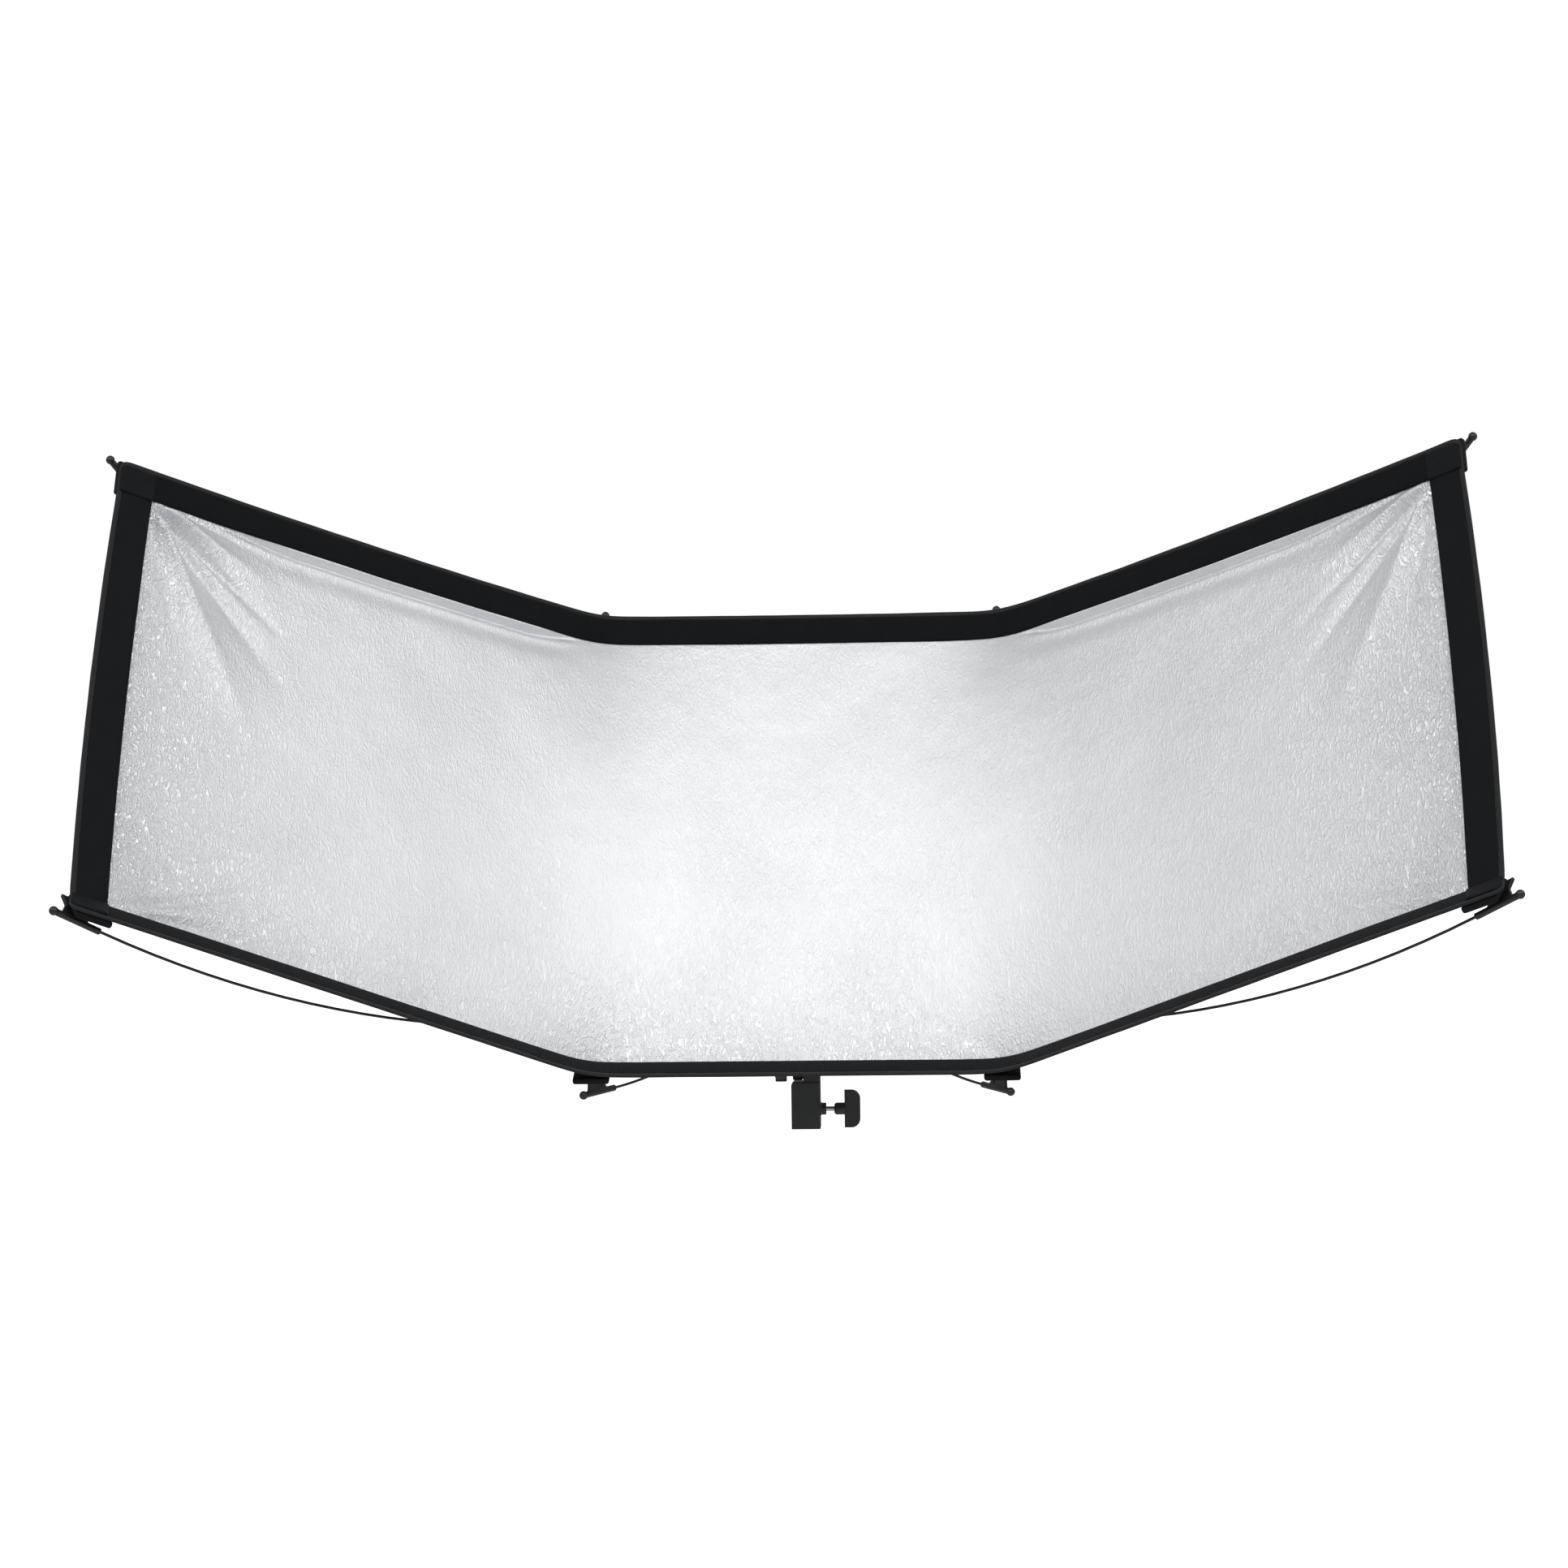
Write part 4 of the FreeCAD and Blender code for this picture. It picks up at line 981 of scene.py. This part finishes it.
# %% Group: crinkled foil
def build_crinkle():
    """Fine leather-like crinkle. Slack cloth crinkles more, and with longer cells upright."""
    group, entry, exit_ = new_group(
        "crinkled foil", {"Slack": 0.3, "Cell": 0.0030, "Pebble": 0.5},
        {"Height": "NodeSocketFloat", "Glint": "NodeSocketFloat"})
    uv = flat_place(group)
    tilted = group.nodes.new("ShaderNodeMapping")
    group.links.new(uv, tilted.inputs["Vector"])
    tilted.inputs["Rotation"].default_value = (0, 0, math.radians(24))
    tilted.inputs["Scale"].default_value = (1.0, 0.42, 1.0)
    warp = noise_of(group, tilted.outputs["Vector"], 90.0)
    bend = calc(group, "MULTIPLY", warp, 0.004)
    shift = group.nodes.new("ShaderNodeVectorMath")
    group.links.new(tilted.outputs["Vector"], shift.inputs[0])
    group.links.new(bend, shift.inputs[1])
    cells = calc(group, "DIVIDE", 1.0, entry.outputs["Cell"])
    creased = noise_of(group, shift.outputs[0], cells, 3.0, 0.62)
    ridged = calc(group, "ABSOLUTE", calc(group, "SUBTRACT", creased, 0.5))
    sharp = between(group, ridged, 0.0, 0.14)
    pebble = noise_of(group, uv, 900.0, 1.0)
    slack = calc(group, "MULTIPLY", sharp, entry.outputs["Slack"])
    fine = calc(group, "MULTIPLY", pebble, entry.outputs["Pebble"])
    feed(group, exit_, Height=calc(group, "ADD", slack, fine),
         Glint=calc(group, "MULTIPLY", creased, entry.outputs["Slack"]))
    return group


# %% Group: moulded grain
def build_grain():
    """Spark-eroded grain of a moulding, from object coordinates in metres."""
    group, entry, exit_ = new_group(
        "moulded grain", {"Scale": 2200.0},
        {"Height": "NodeSocketFloat", "Cloud": "NodeSocketFloat"})
    place = object_place(group)
    feed(group, exit_, Height=noise_of(group, place, entry.outputs["Scale"], 2.0, 0.6),
         Cloud=noise_of(group, place, 60.0, 3.0))
    return group


# %% Group: eased edges
def build_eased():
    """Softens the shading of sharp edges and marks them as places of wear."""
    group, entry, exit_ = new_group(
        "eased edges", {"Radius": 0.0005, "Wear": 1.0},
        {"Normal": "NodeSocketVector", "Worn": "NodeSocketFloat"})
    eased = group.nodes.new("ShaderNodeBevel")
    eased.samples = 4
    put(entry.outputs["Radius"], eased.inputs["Radius"], group)
    flat = group.nodes.new("ShaderNodeNewGeometry")
    along = group.nodes.new("ShaderNodeVectorMath")
    along.operation = "DOT_PRODUCT"
    group.links.new(eased.outputs["Normal"], along.inputs[0])
    group.links.new(flat.outputs["Normal"], along.inputs[1])
    edge = between(group, along.outputs["Value"], 0.985, 0.80)
    patchy = between(group, noise_of(group, object_place(group), 350.0, 3.0), 0.42, 0.62)
    worn = calc(group, "MULTIPLY", calc(group, "MULTIPLY", edge, patchy), entry.outputs["Wear"])
    feed(group, exit_, Normal=eased.outputs["Normal"], Worn=worn)
    return group


# %% Group: lint and dust
def build_lint():
    """Pale specks and a faint film of dust, more on faces that look up."""
    group, entry, exit_ = new_group(
        "lint and dust", {"Amount": 0.5, "Speck scale": 700.0}, {"Mask": "NodeSocketFloat"})
    place = object_place(group)
    specks = between(group, noise_of(group, place, entry.outputs["Speck scale"], 1.0), 0.70, 0.80)
    film = between(group, noise_of(group, place, 45.0, 4.0), 0.40, 0.75)
    flat = group.nodes.new("ShaderNodeNewGeometry")
    split = group.nodes.new("ShaderNodeSeparateXYZ")
    group.links.new(flat.outputs["Normal"], split.inputs[0])
    upward = between(group, split.outputs["Z"], -0.2, 1.0, 0.25, 1.0)
    settled = calc(group, "MULTIPLY", film, upward)
    both = calc(group, "ADD", calc(group, "MULTIPLY", settled, 0.6), specks)
    feed(group, exit_, Mask=calc(group, "MULTIPLY", both, entry.outputs["Amount"], clamp=True))
    return group


CLOTH_RIBS = build_ribs()
CRINKLED_FOIL = build_crinkle()
MOULDED_GRAIN = build_grain()
EASED_EDGES = build_eased()
LINT = build_lint()
print("shader groups", [group.name for group in bpy.data.node_groups])

# %% [markdown]
# ## Finishes
#
# Each finish below is one small function. It starts a material, adds the groups it needs with its
# own values and links what varies into the shader. Anything that is the same all over is set on the
# shader's own socket.

# %% Material helpers
def start_material(name, colour, roughness, metallic=0.0):
    material = bpy.data.materials.new(name)
    material.use_nodes = True
    material.diffuse_color = (*colour, 1)
    tree = material.node_tree
    shader = tree.nodes["Principled BSDF"]
    shader.inputs["Base Color"].default_value = (*colour, 1)
    shader.inputs["Roughness"].default_value = roughness
    shader.inputs["Metallic"].default_value = metallic
    return material, tree, shader


def use_group(tree, group, **values):
    placed = tree.nodes.new("ShaderNodeGroup")
    placed.node_tree = group
    feed(tree, placed, **values)
    return placed


def blend_colour(tree, share, dark, pale):
    """From one colour to another by a share."""
    blend = tree.nodes.new("ShaderNodeMix")
    blend.data_type = "RGBA"
    put(share, blend.inputs["Factor"], tree)
    for socket, colour in ((blend.inputs["A"], dark), (blend.inputs["B"], pale)):
        put((*colour, 1) if isinstance(colour, tuple) else colour, socket, tree)
    return blend.outputs["Result"]


def bump(tree, height, distance, strength=1.0, normal=None):
    """A bump from a height in 0 to 1, as deep as distance in metres."""
    raised = tree.nodes.new("ShaderNodeBump")
    raised.inputs["Distance"].default_value = distance
    raised.inputs["Strength"].default_value = strength
    put(height, raised.inputs["Height"], tree)
    if normal is not None:
        put(normal, raised.inputs["Normal"], tree)
    return raised.outputs["Normal"]


# %% Silver face and black cloth
def silver_face():
    """Silver coating on cloth: half metal, half white, with a crinkle that follows the slack."""
    material, tree, shader = start_material("silver_face", (0.86, 0.87, 0.885), 0.5, 0.62)
    slack = tree.nodes.new("ShaderNodeAttribute")
    slack.attribute_name = "slack"
    foil = use_group(tree, CRINKLED_FOIL, Slack=slack.outputs["Fac"], Cell=0.0042, Pebble=0.16)
    cloud = between(tree, noise_of(tree, object_place(tree), 9.0, 4.0), 0.3, 0.7)
    feed(tree, shader, Normal=bump(tree, foil.outputs["Height"], 0.00110),
         Roughness=between(tree, foil.outputs["Glint"], 0.0, 0.6, 0.44, 0.34),
         Base_Color=blend_colour(tree, cloud, (0.84, 0.852, 0.872), (0.885, 0.890, 0.900)))
    return material


def black_cloth(name, colour, pitch, rib, roughness, depth):
    """Black woven cloth or elastic, with ribs across it, painted shade in the rib grooves and a
    little lint.
    """
    material, tree, shader = start_material(name, colour, roughness)
    ribs = use_group(tree, CLOTH_RIBS, Pitch=pitch, Rib_depth=rib)
    lint = use_group(tree, LINT, Amount=0.12)
    pale = tuple(min(part * 2.6 + 0.012, 1.0) for part in colour)
    # Painted shade: the colour darkens to 0.55 of itself in the rib grooves.
    shade = blend_colour(tree, ribs.outputs["Shade"], tuple(part * 0.55 for part in colour), colour)
    feed(tree, shader, Base_Color=blend_colour(tree, lint.outputs["Mask"], shade, pale),
         Normal=bump(tree, ribs.outputs["Height"], depth),
         Sheen_Weight=0.02, Sheen_Roughness=0.45, Specular_IOR_Level=0.10)
    return material


SILVER = silver_face()
BACKING = black_cloth("black_backing", (0.010, 0.011, 0.013), 0.0006, 0.6, 0.78, 0.00012)
RIBBED = black_cloth("ribbed_elastic", (0.0065, 0.0072, 0.0090), 0.00135, 1.0, 0.72, 0.00030)
SMOOTH = black_cloth("smooth_elastic", (0.0075, 0.0082, 0.0100), 0.0009, 0.45, 0.66, 0.00010)
# The binding's black is about three times paler than the other black cloth: a painted sheen for the
# light the roll catches along its top and sides.
BINDING = black_cloth("rolled_binding", (0.026, 0.028, 0.031), 0.0011, 0.7, 0.52, 0.00016)
PATCH = black_cloth("folded_cloth", (0.0090, 0.0098, 0.0115), 0.0007, 0.6, 0.62, 0.00014)
for piece, *finishes in ((silver_cloth, SILVER, BACKING), (band_top, RIBBED), (band_bottom, RIBBED),
                         (band_side_l, SMOOTH), (band_side_r, SMOOTH), (hem_roll, BINDING),
                         *((piece, PATCH) for piece in pockets + patches)):
    for finish in finishes:
        piece.data.materials.append(finish)
print("soft finishes are on")

# %% [markdown]
# The hard pieces get their finishes by the record's material slots. A moulded piece has a fine
# grain, slightly polished and greyed edges and a trace of dust; the tips are smoother and shinier;
# the rods have a thin black coat; the screws are plain bright steel with turning marks.

# %% Hard finishes
def moulding(name, colour, roughness, grain, depth, wear, radius):
    """Black moulded plastic."""
    material, tree, shader = start_material(name, colour, roughness)
    texture = use_group(tree, MOULDED_GRAIN, Scale=grain)
    eased = use_group(tree, EASED_EDGES, Radius=radius, Wear=wear)
    lint = use_group(tree, LINT, Amount=0.30, Speck_scale=900.0)
    clouded = blend_colour(tree, texture.outputs["Cloud"], tuple(c * 0.85 for c in colour),
                           tuple(c * 1.15 for c in colour))
    pale = tuple(c * 2.4 + 0.01 for c in colour)
    rubbed = blend_colour(tree, eased.outputs["Worn"], clouded, pale)
    dusty = blend_colour(tree, lint.outputs["Mask"], rubbed, (0.12, 0.12, 0.118))
    matt = between(tree, texture.outputs["Cloud"], 0.3, 0.7, roughness - 0.05, roughness + 0.06)
    polish = calc(tree, "MULTIPLY", eased.outputs["Worn"], 0.12)
    feed(tree, shader, Base_Color=dusty, Roughness=calc(tree, "SUBTRACT", matt, polish),
         Normal=bump(tree, texture.outputs["Height"], depth, normal=eased.outputs["Normal"]))
    return material


def coated_rod():
    """Spring steel under a thin black coat, rubbed grey in places."""
    material, tree, shader = start_material("coated_rod", (0.02, 0.021, 0.023), 0.38)
    texture = use_group(tree, MOULDED_GRAIN, Scale=1500.0)
    rubbed = between(tree, noise_of(tree, object_place(tree), 55.0, 5.0, 0.7), 0.60, 0.72)
    feed(tree, shader, Roughness=between(tree, rubbed, 0.0, 1.0, 0.40, 0.30),
         Base_Color=blend_colour(tree, rubbed, (0.018, 0.019, 0.021), (0.05, 0.05, 0.052)),
         Normal=bump(tree, texture.outputs["Height"], 0.00004))
    return material


def turned_metal(name, colour, roughness, stretch_by, wear_colour):
    """Bright metal with fine marks across one direction."""
    material, tree, shader = start_material(name, colour, roughness, 1.0)
    place = object_place(tree)
    marks = noise_of(tree, stretch(tree, place, stretch_by), 1.0, 3.0, 0.6)
    stain = between(tree, noise_of(tree, place, 160.0, 4.0), 0.5, 0.8)
    eased = use_group(tree, EASED_EDGES, Radius=0.0003, Wear=1.0)
    feed(tree, shader, Base_Color=blend_colour(tree, stain, colour, wear_colour),
         Roughness=between(tree, marks, 0.3, 0.7, roughness - 0.08, roughness + 0.1),
         Normal=bump(tree, marks, 0.00003, normal=eased.outputs["Normal"]))
    return material


def friction_fibre():
    """Pressed fibre disc: dull, with pale flecks."""
    material, tree, shader = start_material("friction_fibre", (0.06, 0.055, 0.05), 0.9)
    flecks = between(tree, noise_of(tree, object_place(tree), 1400.0, 2.0), 0.55, 0.7)
    feed(tree, shader, Normal=bump(tree, flecks, 0.00006),
         Base_Color=blend_colour(tree, flecks, (0.05, 0.046, 0.042), (0.22, 0.20, 0.17)))
    return material


HARD_FINISHES = {
    "moulding": moulding("matt_moulding", (0.026, 0.0275, 0.030), roughness=0.50, grain=2600.0,
                         depth=0.00005, wear=0.8, radius=0.0006),
    "tip": moulding("glossy_moulding", (0.018, 0.019, 0.021), roughness=0.27, grain=1200.0,
                    depth=0.00001, wear=0.5, radius=0.0005),
    "rod": coated_rod(),
    "steel": turned_metal("bright_steel", (0.62, 0.61, 0.585), 0.26, (5200.0, 260.0, 260.0),
                          (0.42, 0.40, 0.37)),
    "brass": turned_metal("turned_brass", (0.66, 0.50, 0.26), 0.34, (4200.0, 300.0, 300.0),
                          (0.40, 0.29, 0.15)),
    "liner": turned_metal("drawn_sleeve", (0.58, 0.58, 0.59), 0.34, (300.0, 300.0, 4200.0),
                          (0.38, 0.38, 0.38)),
    "ferrule": turned_metal("dull_bush", (0.30, 0.30, 0.31), 0.46, (900.0, 900.0, 900.0),
                            (0.20, 0.20, 0.20)),
    "friction": friction_fibre(),
}
for subpart in frame["record"]["subparts"]:
    finish = HARD_FINISHES.get(subpart["material_slot"])
    if finish is not None:
        cad_mesh = frame["nodes"][subpart["node"]].data
        cad_mesh.materials.clear()
        cad_mesh.materials.append(finish)
print("hard finishes", sorted(HARD_FINISHES))
